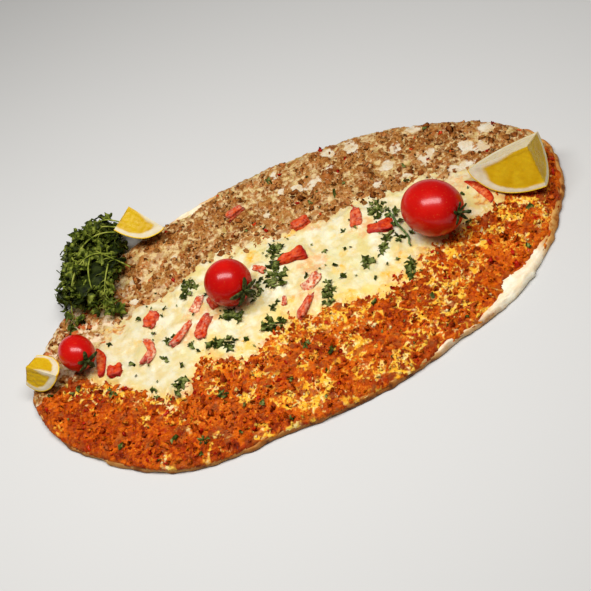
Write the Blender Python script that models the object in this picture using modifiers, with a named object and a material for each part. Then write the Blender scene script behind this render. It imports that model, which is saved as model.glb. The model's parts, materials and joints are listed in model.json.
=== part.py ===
"""A lahmacun with its garnish: a thin oval bread with three bands of topping.

Brown minced meat lies along the back, melted cheese down the middle and red
minced meat along the front. Cherry tomatoes, lemon wedges, diced tomato and
parsley lie on it, and a bunch of parsley leans over its back left edge.

Metres, +Z up. The origin is the middle of the bread's flat underside, +X runs
along the bread and +Y to its back. What rests on something keeps a GAP to it.
"""
import math

import bmesh
import bpy
import numpy as np
from mathutils import Matrix, Vector, noise

MM = 0.001
GAP = 0.3 * MM

# Bread: an oval with a slow wave round its edge and a raised bare rim.
OVAL_LONG = 169.0 * MM
OVAL_SHORT = 94.9 * MM
OVAL_FULLNESS = 2.16
# (waves in one turn, how far they reach, where the first crest stands in degrees)
EDGE_WAVES = (
    (1, 1.6 * MM, 109.0),
    (2, 1.1 * MM, -109.0),
    (3, 0.7 * MM, -16.0),
    (5, 0.9 * MM, 27.0),
    (7, 1.2 * MM, 77.0),
    (8, 1.0 * MM, -4.0),
    (9, 0.7 * MM, 88.0),
    (10, 0.9 * MM, -1.0),
)
DOUGH_THICKNESS = 3.0 * MM
RIM_HEIGHT = 5.2 * MM
RIM_UNEVENNESS = 0.14
RIM_LUMPS = 4.0
EDGE_STEPS = 72
# The bare rim is narrow, and wide along the front right.
BARE_RIM = 3.6 * MM
BARE_RIM_WIDE = 7.0 * MM
WIDE_RIM_AT = -33.0
WIDE_RIM_SPREAD = 20.0

# Toppings: their floor, their lumpy top and the thin edge at the rim.
TOPPING_FLOOR = DOUGH_THICKNESS + GAP
TOPPING_TOP = 6.4 * MM
LUMP_HEIGHT = 0.8 * MM
LUMP_SIZE = 14.0 * MM
TOPPING_EDGE = 1.4 * MM
TOPPING_STATIONS = 48
MEETING_STATIONS = 5
# Past the cheese's ends the two meats meet, and these are the angles where they reach the rim.
LEFT_MEETING = 176.0
RIGHT_MEETING = 1.0
TOPPING_ROWS = 7
RIM_STATIONS = 240
TOP_LIMIT = 7.2 * MM

# Where the melted cheese ends, from the left end to the right one.
CHEESE_BACK = (
    (-136, 14), (-128, 30), (-115, 41), (-95, 40), (-72, 41), (-48, 49), (-20, 45),
    (1, 45), (25, 35), (60, 32), (89, 26), (118, 16), (137, 4),
)
CHEESE_FRONT = (
    (-136, 10), (-130, -1), (-114, -20), (-98, -35), (-85, -35), (-67, -19), (-48, -37),
    (-30, -27), (-6, -28), (15, -34), (37, -42), (52, -33), (80, -28), (118, -21), (137, 0),
)

# What lies on the toppings starts here.
REST = TOP_LIMIT + 2 * GAP

# Cherry tomatoes: centre, radius across, half length, the way the stem points (turn, rise).
TOMATOES = {
    "right": ((84.9, -15.2, 24.4), 16.4, 19.4, (-62.0, 13.0)),
    "middle": ((-37.6, 9.4, 21.9), 13.9, 14.0, (-65.0, 2.0)),
    "left": ((-133.7, 19.4, 17.9), 10.3, 12.4, (-71.7, 10.7)),
}
# Their green stars: how far the sepals reach, the stem's length and radius.
CALYXES = {
    "right": (5.6, 7.0, 0.9),
    "middle": (8.5, 5.0, 0.8),
    "left": (6.5, 3.0, 0.8),
}
SEPALS = 5
SEPAL_THICKNESS = 0.9 * MM
SEPAL_WAIST = 0.35
SEPAL_POINT = 1.6

# Lemon wedges: radius, length, inner corner, the ridge's way to the tip, one cut side's way to the rind.
LEMONS = {
    "right": (26.0, 37.0, (147.0, -18.2, 36.6), (-0.772, 0.486, -0.409), (0.634, 0.631, -0.448)),
    "back": (17.5, 24.0, (-67.8, 95.5, 31.0), (0.521, -0.657, -0.545), (-0.848, -0.467, -0.249)),
    "left": (17.0, 18.5, (-162.5, 21.5, 25.2), (0.70, -0.68, -0.22), (-0.375, -0.221, -0.901)),
}

# Diced tomato on the cheese: middle x, y, length, width, turn in degrees, height.
TOMATO_DICE = (
    (-87, 23, 10.5, 8.5, 48, 3.4),
    (-95, 2, 14, 7, -112, 3.0),
    (-119, 1, 8, 8, -16, 3.6),
    (-75, 2, 17, 5.5, 30, 3.0),
    (-59, 17, 12, 7, 48, 2.4),
    (-62, 0, 15, 7.5, 45, 3.4),
    (-51, 12, 8, 5, -86, 4.0),
    (-14, -12, 6, 3.5, -111, 2.2),
    (19, 37, 10, 7, 8, 3.0),
    (49, 20, 13, 7, -118, 2.6),
    (57, 4, 13, 9, -20, 3.2),
    (4, 15, 15, 9, -5, 4.4),
    (-4, -22, 16, 6, 40, 3.2),
    (6, -9, 13, 8, 30, 2.6),
    (-17, 19, 8, 5, -50, 2.6),
    (-11, 71, 11, 6, 12, 2.6),
)
# Thin slices of tomato: middle, radius, how far the arc bulges, turn in degrees, height.
TOMATO_SLICES = {
    "left": ((-126.2, 12.5), 10.0, 5.5, -15.0, 3.2),
    "right": ((117.0, -8), 12.0, 6.0, 10.0, 2.6),
}

# Parsley leaves on the cheese: middle x, y, length, width, turn in degrees, lobes.
PARSLEY_SPRIGS = (
    (-11, 9, 19, 12, 75, 7),
    (-4, 25, 12, 10, 40, 5),
    (-27, -23, 15, 9, -20, 5),
    (-57, -18, 17, 8, -35, 5),
    (9, -24, 12, 8, 60, 5),
    (62, 16, 14, 11, 60, 5),
    (53, -11, 20, 6, 35, 3),
    (57, -35, 18, 6, 60, 3),
    (38, -16, 8, 7, 20, 3),
    (-60, 31, 16, 9, 60, 5),
    (-89, -32, 14, 6, 45, 3),
    (-45, -3, 13, 8, -30, 5),
)
SPRIG_THICKNESS = 1.2 * MM
STALK = ((67, 10, 9.4), (67, 2, 9.0), (67.5, -4, 8.7), (67.3, -11, 8.6), (66, -19, 8.6))
STALK_RADIUS = 0.6 * MM

# The bunch beside the bread: its middle, half length, half width, turn in degrees, height.
BUNCH_MIDDLE = (-103.0, 86.0)
BUNCH_LONG = 40.0 * MM
BUNCH_WIDE = 24.0 * MM
BUNCH_TURN = 66.0
BUNCH_HEIGHT = 24.0 * MM
BUNCH_STEPS = 28
# How far its outline and its top wander, and the size of the lumps.
BUNCH_WANDER = (0.16, 0.10)
BUNCH_LUMPS = 0.35
BUNCH_LUMP_SIZE = 13.0 * MM


def clear_scene():
    for old in list(bpy.data.objects):
        bpy.data.objects.remove(old)


def collection(name):
    made = bpy.data.collections.new(name)
    bpy.context.scene.collection.children.link(made)
    return made


def coloured(name, colour, roughness):
    """A plain material of one colour."""
    material = bpy.data.materials.new(name)
    material.use_nodes = True
    shader = material.node_tree.nodes["Principled BSDF"]
    shader.inputs["Base Color"].default_value = (*colour, 1.0)
    shader.inputs["Roughness"].default_value = roughness
    shader.inputs["Metallic"].default_value = 0.0
    return material


def add(name, mesh, group, material=None):
    """Puts a finished mesh into the scene as one named object."""
    made = bpy.data.objects.new(name, mesh)
    group.objects.link(made)
    if material:
        made.data.materials.clear()
        made.data.materials.append(material)
    return made


def add_cutter(name, mesh, group):
    made = add(name, mesh, group)
    made.display_type = "WIRE"
    made.hide_render = True
    return made


def cut(target, cutter, operation="DIFFERENCE"):
    """Cuts one object with another and keeps the result."""
    boolean = target.modifiers.new("Cut by " + cutter.name, "BOOLEAN")
    boolean.operation = operation
    boolean.solver = "EXACT"
    boolean.object = cutter


def smooth(mesh, sharp_degrees=40.0):
    mesh.shade_smooth()
    mesh.set_sharp_from_angle(angle=math.radians(sharp_degrees))


def turned(name, profile, steps):
    """A mesh turned about +Z from a profile of (radius, height), which runs from top to bottom."""
    line = bpy.data.meshes.new(name)
    points = [(radius, 0.0, height) for radius, height in profile]
    line.from_pydata(points, [(i, i + 1) for i in range(len(points) - 1)], [])
    holder = bpy.data.objects.new(name, line)
    bpy.context.scene.collection.objects.link(holder)
    screw = holder.modifiers.new("Turn", "SCREW")
    screw.steps = screw.render_steps = steps
    screw.use_merge_vertices = True
    screw.merge_threshold = 0.00001
    bpy.context.view_layer.update()
    seen = holder.evaluated_get(bpy.context.evaluated_depsgraph_get())
    mesh = bpy.data.meshes.new_from_object(seen)
    bpy.data.objects.remove(holder)
    return mesh


def reshape(mesh, rule):
    """Moves every point of a turned mesh to rule(radius, angle, height)."""
    for vertex in mesh.vertices:
        x, y, z = vertex.co
        vertex.co = rule(math.hypot(x, y), math.atan2(y, x), z)
    return mesh


def bump(degrees, middle, spread):
    """1 at the middle angle, falling to 0 on both sides of it."""
    away = (degrees - middle + 180.0) % 360.0 - 180.0
    return math.exp(-((away / spread) ** 2))


def edge_radius(angle):
    """How far the bread reaches from its middle at an angle."""
    along = abs(math.cos(angle) / OVAL_LONG) ** OVAL_FULLNESS
    across = abs(math.sin(angle) / OVAL_SHORT) ** OVAL_FULLNESS
    waves = sum(
        reach * math.cos(count * angle - math.radians(crest))
        for count, reach, crest in EDGE_WAVES
    )
    return (along + across) ** (-1.0 / OVAL_FULLNESS) + waves


def rim_width(angle):
    return BARE_RIM + BARE_RIM_WIDE * bump(math.degrees(angle), WIDE_RIM_AT, WIDE_RIM_SPREAD)


def bread_point(ring, angle, height, grow=0.0):
    """A ring of 1 is the inner foot of the rim and 2 the bread's edge."""
    foot = edge_radius(angle) - rim_width(angle)
    if ring <= 1.0:
        radius = foot * ring
    else:
        radius = foot + rim_width(angle) * (ring - 1.0) + grow
    return Vector((radius * math.cos(angle), radius * math.sin(angle), height))


def make_dough(group):
    profile = (
        (0.0, DOUGH_THICKNESS),
        (0.6, DOUGH_THICKNESS),
        (1.0, DOUGH_THICKNESS),
        (1.3, 0.88 * RIM_HEIGHT),
        (1.6, RIM_HEIGHT),
        (1.88, 0.8 * RIM_HEIGHT),
        (2.0, 0.45 * RIM_HEIGHT),
        (1.92, 0.12 * RIM_HEIGHT),
        (1.75, 0.0),
        (0.0, 0.0),
    )

    def rule(ring, angle, height):
        if ring > 1.2:
            place = Vector((math.cos(angle), math.sin(angle), 0.0)) * RIM_LUMPS
            height *= 1.0 + RIM_UNEVENNESS * noise.noise(place)
        return bread_point(ring, angle, height)

    mesh = reshape(turned("dough", profile, EDGE_STEPS), rule)
    smooth(mesh)
    add("dough_base", mesh, group, coloured("baked_dough", (0.78, 0.60, 0.38), 0.75))


def evenly(points, count):
    """count + 1 points at even steps on a smooth curve through the given ones."""
    given = [Vector((x, y)) for x, y in points]
    ends = [2 * given[0] - given[1], *given, 2 * given[-1] - given[-2]]
    fine = []
    for i in range(1, len(ends) - 2):
        p0, p1, p2, p3 = ends[i - 1:i + 3]
        for step in range(12):
            t = step / 12.0
            fine.append(
                0.5 * (2 * p1 + (p2 - p0) * t + (2 * p0 - 5 * p1 + 4 * p2 - p3) * t ** 2
                       + (3 * p1 - p0 - 3 * p2 + p3) * t ** 3)
            )
    fine.append(given[-1])
    flat = np.array([tuple(p) for p in fine])
    walked = np.concatenate([[0.0], np.cumsum(np.linalg.norm(np.diff(flat, axis=0), axis=1))])
    wanted = np.linspace(0.0, walked[-1], count + 1)
    return np.column_stack([np.interp(wanted, walked, flat[:, k]) for k in (0, 1)])


def beside(line, distance):
    """The same line, shifted to its left by distance."""
    way = np.gradient(line, axis=0)
    way /= np.linalg.norm(way, axis=1)[:, None]
    return line + distance * np.column_stack([-way[:, 1], way[:, 0]])


def topping_limit(angle):
    """A point on the outer edge of the toppings."""
    radius = edge_radius(angle) - rim_width(angle) - 3 * GAP
    return np.array([radius * math.cos(angle), radius * math.sin(angle)])


def topping_height(x, y):
    lump = noise.noise(Vector((x, y, 0.0)) / LUMP_SIZE)
    return min(TOPPING_TOP + LUMP_HEIGHT * lump, TOP_LIMIT)


def make_topping(name, inner, outer, group, material, thin_outside=True):
    """A lumpy band between two borders, with a flat floor just above the dough."""
    bm = bmesh.new()
    grid = []
    for start, end in zip(inner, outer):
        row = []
        for step in range(TOPPING_ROWS + 1):
            x, y = start + (end - start) * step / TOPPING_ROWS
            height = topping_height(x, y)
            if thin_outside and step == TOPPING_ROWS:
                height = TOPPING_FLOOR + TOPPING_EDGE
            row.append(bm.verts.new((x, y, height)))
        grid.append(row)
    for near, far in zip(grid, grid[1:]):
        for step in range(TOPPING_ROWS):
            bm.faces.new((near[step], far[step], far[step + 1], near[step + 1]))
    sunk = bmesh.ops.extrude_face_region(bm, geom=bm.faces[:])["geom"]
    for item in sunk:
        if isinstance(item, bmesh.types.BMVert):
            item.co.z = TOPPING_FLOOR
    floor = [item for item in sunk if isinstance(item, bmesh.types.BMFace)]
    bmesh.ops.dissolve_faces(bm, faces=floor)
    bmesh.ops.recalc_face_normals(bm, faces=bm.faces[:])
    mesh = bpy.data.meshes.new(name)
    bm.to_mesh(mesh)
    bm.free()
    smooth(mesh, 60.0)
    return add(name, mesh, group, material)


def make_toppings(group):
    back = evenly(CHEESE_BACK, TOPPING_STATIONS) * MM
    front = evenly(CHEESE_FRONT, TOPPING_STATIONS) * MM
    make_topping(
        "cheese_layer", beside(front, GAP / 2), beside(back, -GAP / 2), group,
        coloured("melted_cheese", (0.93, 0.83, 0.52), 0.4), thin_outside=False,
    )
    left_tip = (back[0] + front[0]) / 2 - np.array([GAP, 0.0])
    right_tip = (back[-1] + front[-1]) / 2 + np.array([GAP, 0.0])
    left_end = topping_limit(math.radians(LEFT_MEETING))
    right_end = topping_limit(math.radians(RIGHT_MEETING))
    meats = (
        ("brown_meat_layer", back, 1, ("browned_mince", (0.52, 0.30, 0.14), 0.6)),
        ("red_meat_layer", front, -1, ("red_mince", (0.72, 0.22, 0.05), 0.5)),
    )
    for name, border, side, finish in meats:
        shift = np.array([0.0, side * GAP / 2])
        shares = np.linspace(0.0, 1.0, MEETING_STATIONS, endpoint=False)[:, None]
        left = left_end + (left_tip - left_end) * shares + shift
        right = (right_end + (right_tip - right_end) * shares + shift)[::-1]
        inner = np.vstack([left, beside(border, side * GAP / 2), right])
        start = math.atan2(left[0][1], left[0][0]) % (2 * math.pi)
        end = math.atan2(right[-1][1], right[-1][0])
        if side < 0:
            start -= 2 * math.pi
        angles = np.linspace(start, end, RIM_STATIONS)
        rim = np.array([topping_limit(angle) for angle in angles])
        walked = np.concatenate([[0.0], np.cumsum(np.linalg.norm(np.diff(rim, axis=0), axis=1))])
        wanted = np.linspace(0.0, walked[-1], len(inner) + 2)[1:-1]
        outer = np.column_stack([np.interp(wanted, walked, rim[:, k]) for k in (0, 1)])
        make_topping(name, inner, outer, group, coloured(*finish))


def facing(direction):
    """Turns +Z to a direction."""
    return Vector(direction).to_track_quat("Z", "Y").to_matrix().to_4x4()


def pointing(turn, rise):
    """A direction from its turn about +Z and its rise, in degrees."""
    turn, rise = math.radians(turn), math.radians(rise)
    level = math.cos(rise)
    return Vector((level * math.cos(turn), level * math.sin(turn), math.sin(rise)))


def make_tomatoes(group):
    skin = coloured("tomato_skin", (0.72, 0.02, 0.01), 0.2)
    for place, (middle, across, half, way) in TOMATOES.items():
        bm = bmesh.new()
        bmesh.ops.create_uvsphere(bm, u_segments=20, v_segments=12, radius=1.0)
        size = Matrix.Diagonal((across * MM, across * MM, half * MM, 1.0))
        turn = facing(pointing(*way))
        bmesh.ops.transform(
            bm, matrix=Matrix.Translation(Vector(middle) * MM) @ turn @ size, verts=bm.verts[:]
        )
        mesh = bpy.data.meshes.new(place)
        bm.to_mesh(mesh)
        bm.free()
        mesh.shade_smooth()
        add("cherry_tomato_" + place, mesh, group, skin)


def make_calyxes(group):
    """A green star on each tomato: its under and upper side follow the fruit's skin."""
    green = coloured("calyx_green", (0.09, 0.16, 0.04), 0.6)
    stem_top, upper, under = 2.0, 1.0, 0.0
    stem_ring = 0.15
    profile = (
        (0.0, stem_top), (stem_ring, stem_top), (stem_ring, upper), (0.5, upper), (1.0, upper),
        (0.98, under), (0.5, under), (0.0, under),
    )
    for place, (sepal, stem, stem_radius) in CALYXES.items():
        middle, across, half, way = TOMATOES[place]
        across, half, sepal, stem = across * MM, half * MM, sepal * MM, stem * MM
        stem_radius = stem_radius * MM

        def rule(ring, angle, level):
            lobe = abs(math.cos(SEPALS * angle / 2))
            out = sepal * (SEPAL_WAIST + (1.0 - SEPAL_WAIST) * lobe ** SEPAL_POINT)
            lift = 2 * GAP + (SEPAL_THICKNESS if level > under else 0.0)
            reach = ring * out
            if level > under and ring <= stem_ring + 0.01:
                reach = stem_radius * ring / stem_ring
            lean = reach / across
            height = (half + lift) * math.cos(lean)
            if level == stem_top:
                height = half + lift + stem
            return Vector((
                (across + lift) * math.sin(lean) * math.cos(angle),
                (across + lift) * math.sin(lean) * math.sin(angle),
                height,
            ))

        mesh = reshape(turned(place, profile, 4 * SEPALS), rule)
        mesh.transform(Matrix.Translation(Vector(middle) * MM) @ facing(pointing(*way)))
        smooth(mesh)
        add("tomato_calyx_" + place, mesh, group, green)


def lemon_profile(radius, length, grow=0.0):
    """Half the outline of a lemon from its tip down to the cut across its middle."""
    steps = 9
    points = []
    for step in range(steps + 1):
        share = step / steps
        lean = share * math.pi / 2
        points.append(((radius + grow) * math.sin(lean) ** 0.8, (length + grow) * math.cos(lean)))
    return points + [((radius + grow), -radius / 2), (0.0, -radius / 2)]


def lemon_frame(corner, ridge, side):
    """Places +Z along the ridge to the tip and +X along one cut side."""
    ridge = Vector(ridge).normalized()
    side = Vector(side)
    side = (side - ridge * side.dot(ridge)).normalized()
    turn = Matrix((side, ridge.cross(side), ridge)).transposed().to_4x4()
    return Matrix.Translation(Vector(corner) * MM) @ turn


def quarter_block(size, start):
    bm = bmesh.new()
    bmesh.ops.create_cube(bm, size=size)
    bmesh.ops.translate(bm, vec=Vector((1, 1, 1)) * (size / 2 + start), verts=bm.verts[:])
    mesh = bpy.data.meshes.new("quarter")
    bm.to_mesh(mesh)
    bm.free()
    return mesh


def make_lemons(group, cutters):
    rind = coloured("lemon_flesh", (0.83, 0.66, 0.06), 0.35)
    for place, (radius, length, corner, ridge, side) in LEMONS.items():
        mesh = turned(place, lemon_profile(radius * MM, length * MM), 32)
        smooth(mesh)
        wedge = add("lemon_wedge_" + place, mesh, group, rind)
        block = add_cutter("quarter_of_lemon_" + place, quarter_block(60 * MM, 0.0), cutters)
        wedge.matrix_world = block.matrix_world = lemon_frame(corner, ridge, side)
        cut(wedge, block, "INTERSECT")


def make_bunch(group, cutters):
    """The parsley bunch out to its uneven outline, hollowed for the bread and the lemon."""
    profile = (
        (0.0, 1.0), (0.3, 0.97), (0.6, 0.88), (0.85, 0.68), (1.0, 0.45), (0.93, 0.2), (0.85, 0.0),
        (0.0, 0.0),
    )
    turn = math.radians(BUNCH_TURN)

    def rule(ring, angle, level):
        around = Vector((math.cos(angle), math.sin(angle), level))
        broad, fine = BUNCH_WANDER
        uneven = 1.0 + broad * noise.noise(around * 2.3) + fine * noise.noise(around * 5.1)
        along = ring * BUNCH_LONG * uneven * math.cos(angle)
        across = ring * BUNCH_WIDE * uneven * math.sin(angle)
        lumps = 1.0 + BUNCH_LUMPS * noise.noise(Vector((along, across, 0.0)) / BUNCH_LUMP_SIZE)
        return Vector((
            BUNCH_MIDDLE[0] * MM + along * math.cos(turn) - across * math.sin(turn),
            BUNCH_MIDDLE[1] * MM + along * math.sin(turn) + across * math.cos(turn),
            BUNCH_HEIGHT * level * (lumps if ring < 0.9 else 1.0),
        ))

    mesh = reshape(turned("bunch", profile, BUNCH_STEPS), rule)
    smooth(mesh)
    bunch = add("parsley_bunch", mesh, group, coloured("parsley_green", (0.10, 0.20, 0.04), 0.7))

    top = REST + 2 * GAP
    clearance = turned("clearance", ((0.0, top), (2.0, top), (2.0, -top), (0.0, -top)), EDGE_STEPS)
    reshape(clearance, lambda ring, angle, height: bread_point(ring, angle, height, 3 * GAP))
    cut(bunch, add_cutter("room_for_bread", clearance, cutters))

    radius, length, corner, ridge, side = LEMONS["back"]
    room = turned("room", lemon_profile(radius * MM, length * MM, 3 * GAP), 32)
    grown = add_cutter("room_for_lemon", room, cutters)
    block = add_cutter("quarter_for_lemon", quarter_block(60 * MM, -3 * GAP), cutters)
    grown.matrix_world = block.matrix_world = lemon_frame(corner, ridge, side)
    cut(grown, block, "INTERSECT")
    cut(bunch, grown)


def placed(x, y, turn, low=REST):
    return Matrix.Translation((x * MM, y * MM, low)) @ Matrix.Rotation(math.radians(turn), 4, "Z")


def make_dice(group):
    """Cubes of tomato, each a little skewed and rounded."""
    flesh = coloured("diced_tomato", (0.74, 0.08, 0.03), 0.3)
    for number, (x, y, length, width, turn, height) in enumerate(TOMATO_DICE, start=1):
        bm = bmesh.new()
        bmesh.ops.create_cube(bm, size=1.0)
        for vertex in bm.verts:
            lean = 0.15 * noise.noise(Vector((x, y, 3.7)) * 0.1)
            vertex.co.x += lean * vertex.co.y + 0.08 * vertex.co.z
            vertex.co.z += 0.5
        size = Matrix.Diagonal((length * MM, width * MM, height * MM, 1.0))
        bmesh.ops.transform(bm, matrix=size, verts=bm.verts[:])
        mesh = bpy.data.meshes.new("die")
        bm.to_mesh(mesh)
        bm.free()
        die = add("tomato_piece_%02d" % number, mesh, group, flesh)
        die.matrix_world = placed(x, y, turn)
        rounding = die.modifiers.new("Round", "BEVEL")
        rounding.width = 0.7 * MM
        rounding.segments = 1


def make_slices(group):
    """Slices cut straight on one side and round on the other."""
    flesh = coloured("sliced_tomato", (0.70, 0.07, 0.04), 0.3)
    for place, (middle, radius, bulge, turn, height) in TOMATO_SLICES.items():
        bm = bmesh.new()
        bmesh.ops.create_cone(
            bm, cap_ends=True, segments=20, radius1=radius * MM, radius2=radius * MM,
            depth=height * MM,
        )
        bmesh.ops.translate(bm, vec=(0.0, 0.0, height * MM / 2), verts=bm.verts[:])
        halved = bmesh.ops.bisect_plane(
            bm, geom=bm.verts[:] + bm.edges[:] + bm.faces[:], plane_co=(0, 0, 0),
            plane_no=(-1, 0, 0), clear_outer=True,
        )
        edges = [item for item in halved["geom_cut"] if isinstance(item, bmesh.types.BMEdge)]
        bmesh.ops.edgenet_fill(bm, edges=edges)
        flat = Matrix.Diagonal((bulge / radius, 1.0, 1.0, 1.0))
        bmesh.ops.transform(bm, matrix=flat, verts=bm.verts[:])
        bmesh.ops.recalc_face_normals(bm, faces=bm.faces[:])
        mesh = bpy.data.meshes.new(place)
        bm.to_mesh(mesh)
        bm.free()
        add("tomato_slice_" + place, mesh, group, flesh).matrix_world = placed(*middle, turn)


def make_sprigs(group):
    """Flat leaves with lobes, curling up a little at their edge."""
    green = coloured("chopped_parsley", (0.07, 0.15, 0.04), 0.6)
    profile = ((0.0, 1.0), (0.55, 1.0), (1.0, 1.0), (1.0, 0.0), (0.55, 0.0), (0.0, 0.0))
    for number, (x, y, length, width, turn, lobes) in enumerate(PARSLEY_SPRIGS, start=1):

        def rule(ring, angle, level):
            lobe = abs(math.cos(lobes * angle / 2))
            reach = ring * (0.45 + 0.55 * lobe) if ring > 0.9 else ring * 0.6
            curl = 1.2 * MM * ring ** 2 * lobe
            return Vector((
                reach * length * MM / 2 * math.cos(angle),
                reach * width * MM / 2 * math.sin(angle),
                level * SPRIG_THICKNESS + curl,
            ))

        mesh = reshape(turned("sprig", profile, 2 * lobes), rule)
        leaf = add("parsley_sprig_%02d" % number, mesh, group, green)
        leaf.matrix_world = placed(x, y, turn)


def make_stalk(group):
    """One bare stalk, which runs from a sprig to under the right tomato."""
    curve = bpy.data.curves.new("stalk", "CURVE")
    curve.dimensions = "3D"
    curve.bevel_depth = STALK_RADIUS
    curve.bevel_resolution = 1
    curve.use_fill_caps = True
    line = curve.splines.new("POLY")
    line.points.add(len(STALK) - 1)
    for point, place in zip(line.points, STALK):
        point.co = (*(Vector(place) * MM), 1.0)
    curve.materials.append(coloured("parsley_stalk", (0.20, 0.32, 0.10), 0.6))
    made = bpy.data.objects.new("parsley_stalk", curve)
    group.objects.link(made)


def main():
    clear_scene()
    lahmacun = collection("lahmacun")
    cutters = collection("cutters")
    make_dough(lahmacun)
    make_toppings(lahmacun)
    make_tomatoes(lahmacun)
    make_calyxes(lahmacun)
    make_lemons(lahmacun, cutters)
    make_bunch(lahmacun, cutters)
    make_dice(lahmacun)
    make_slices(lahmacun)
    make_sprigs(lahmacun)
    make_stalk(lahmacun)


main()
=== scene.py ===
# %% [markdown]
# # Dressing a lahmacun
# A lahmacun is a thin oval bread baked with minced meat on it. This one carries three bands: browned mince
# along the back, melted cheese down the middle and oily red mince along the front, with tomatoes, lemon
# and parsley on top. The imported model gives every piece's true place, so the lesson starts by loading it
# and keeps to it: each piece made here stands exactly where its solid stands.

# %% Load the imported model
import json
import math
from contextlib import contextmanager

import bmesh
import bpy
import numpy as np
from mathutils import Matrix, Vector, noise

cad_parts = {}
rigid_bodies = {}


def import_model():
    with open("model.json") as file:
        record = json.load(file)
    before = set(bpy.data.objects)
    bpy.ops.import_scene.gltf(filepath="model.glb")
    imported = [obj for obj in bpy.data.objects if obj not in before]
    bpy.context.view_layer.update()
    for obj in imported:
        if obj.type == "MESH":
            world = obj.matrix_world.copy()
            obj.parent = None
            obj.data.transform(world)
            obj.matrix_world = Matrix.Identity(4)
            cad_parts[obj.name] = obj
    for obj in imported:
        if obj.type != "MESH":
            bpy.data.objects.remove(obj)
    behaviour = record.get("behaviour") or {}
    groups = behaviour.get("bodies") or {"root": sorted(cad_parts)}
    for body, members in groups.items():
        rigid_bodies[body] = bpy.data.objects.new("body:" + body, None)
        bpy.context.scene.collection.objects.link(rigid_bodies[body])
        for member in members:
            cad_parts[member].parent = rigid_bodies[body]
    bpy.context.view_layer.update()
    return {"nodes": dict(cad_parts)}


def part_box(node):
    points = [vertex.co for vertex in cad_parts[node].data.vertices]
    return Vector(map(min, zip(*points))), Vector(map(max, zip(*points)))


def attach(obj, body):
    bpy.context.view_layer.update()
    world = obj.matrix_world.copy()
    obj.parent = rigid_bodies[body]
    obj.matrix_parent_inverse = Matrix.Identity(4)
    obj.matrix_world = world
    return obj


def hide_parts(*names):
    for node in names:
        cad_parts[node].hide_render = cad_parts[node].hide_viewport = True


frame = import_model()
NODES = frame["nodes"]
MM = 0.001
SEED = 7


# %% [markdown]
# ## Reading sizes off the solids
# A solid's points say where it is. Rounding them drops the doubles that a triangle file holds. The bread's
# edge was turned in even steps, so one radius for each step, run through a Fourier series, gives a smooth
# outline at any angle. A table of straight pieces would show its corners in a close view.

# %% Points of a solid, and the bread's outline
def solid_points(node):
    """The different points of a CAD solid."""
    mesh = NODES[node].data
    points = np.empty(len(mesh.vertices) * 3, np.float32)
    mesh.vertices.foreach_get("co", points)
    return np.unique(points.reshape(-1, 3).round(6), axis=0).astype(float)


def outline_waves(points, steps=72):
    """Fourier terms of the furthest radius at evenly spaced angles."""
    angle = np.arctan2(points[:, 1], points[:, 0])
    place = np.rint(angle / (2 * math.pi / steps)).astype(int) % steps
    radius = np.hypot(points[:, 0], points[:, 1])
    reach = np.array([radius[place == i].max() for i in range(steps)])
    return np.fft.rfft(reach) / steps


def outline(waves, angle):
    """The radius at any angle, from those terms."""
    counts = np.arange(1, len(waves) - 1)
    turns = np.exp(1j * np.multiply.outer(angle, counts))
    return waves[0].real + 2 * (turns @ waves[1:-1]).real


dough_points = solid_points("dough_base")
cheese_points = solid_points("cheese_layer")
DOUGH_TOP = float(cheese_points[:, 2].min()) - 0.3 * MM
inner = np.abs(dough_points[:, 2] - DOUGH_TOP) < 0.1 * MM
EDGE = outline_waves(dough_points)
FOOT = outline_waves(dough_points[inner])
print("bread's edge at the right end:", round(float(outline(EDGE, 0.0)) / MM, 1), "mm")


# %% Where the melted cheese ends
cheese_floor = cheese_points[cheese_points[:, 2] < cheese_points[:, 2].min() + 0.1 * MM]
left_tip = cheese_floor[cheese_floor[:, 0].argmin()]
right_tip = cheese_floor[cheese_floor[:, 0].argmax()]
share = (cheese_floor[:, 0] - left_tip[0]) / (right_tip[0] - left_tip[0])
middle_line = left_tip[1] + share * (right_tip[1] - left_tip[1])
is_back = cheese_floor[:, 1] > middle_line


def border(points):
    return points[points[:, 0].argsort()]


BACK = border(cheese_floor[is_back])
FRONT = border(cheese_floor[~is_back])


def inside_cheese(x, y):
    """How far a point lies inside the cheese's outline, negative outside, in metres."""
    back = np.interp(x, BACK[:, 0], BACK[:, 1]) - y
    front = y - np.interp(x, FRONT[:, 0], FRONT[:, 1])
    ends = np.minimum(x - left_tip[0], right_tip[0] - x)
    return np.minimum(np.minimum(back, front), ends + 4 * MM)


def behind(x, y):
    """Above 0 on the side of the brown mince, below 0 on the side of the red mince."""
    share = (x - left_tip[0]) / (right_tip[0] - left_tip[0])
    return y - (left_tip[1] + share * (right_tip[1] - left_tip[1]))


print("cheese runs from", round(left_tip[0] / MM), "to", round(right_tip[0] / MM), "mm")


# %% [markdown]
# ## Uneven on purpose
# Food is uneven at every scale. A table of random numbers, read with a smooth blend between neighbours,
# gives soft hills over thousands of points at once, which is faster than asking for noise point by point.

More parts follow.
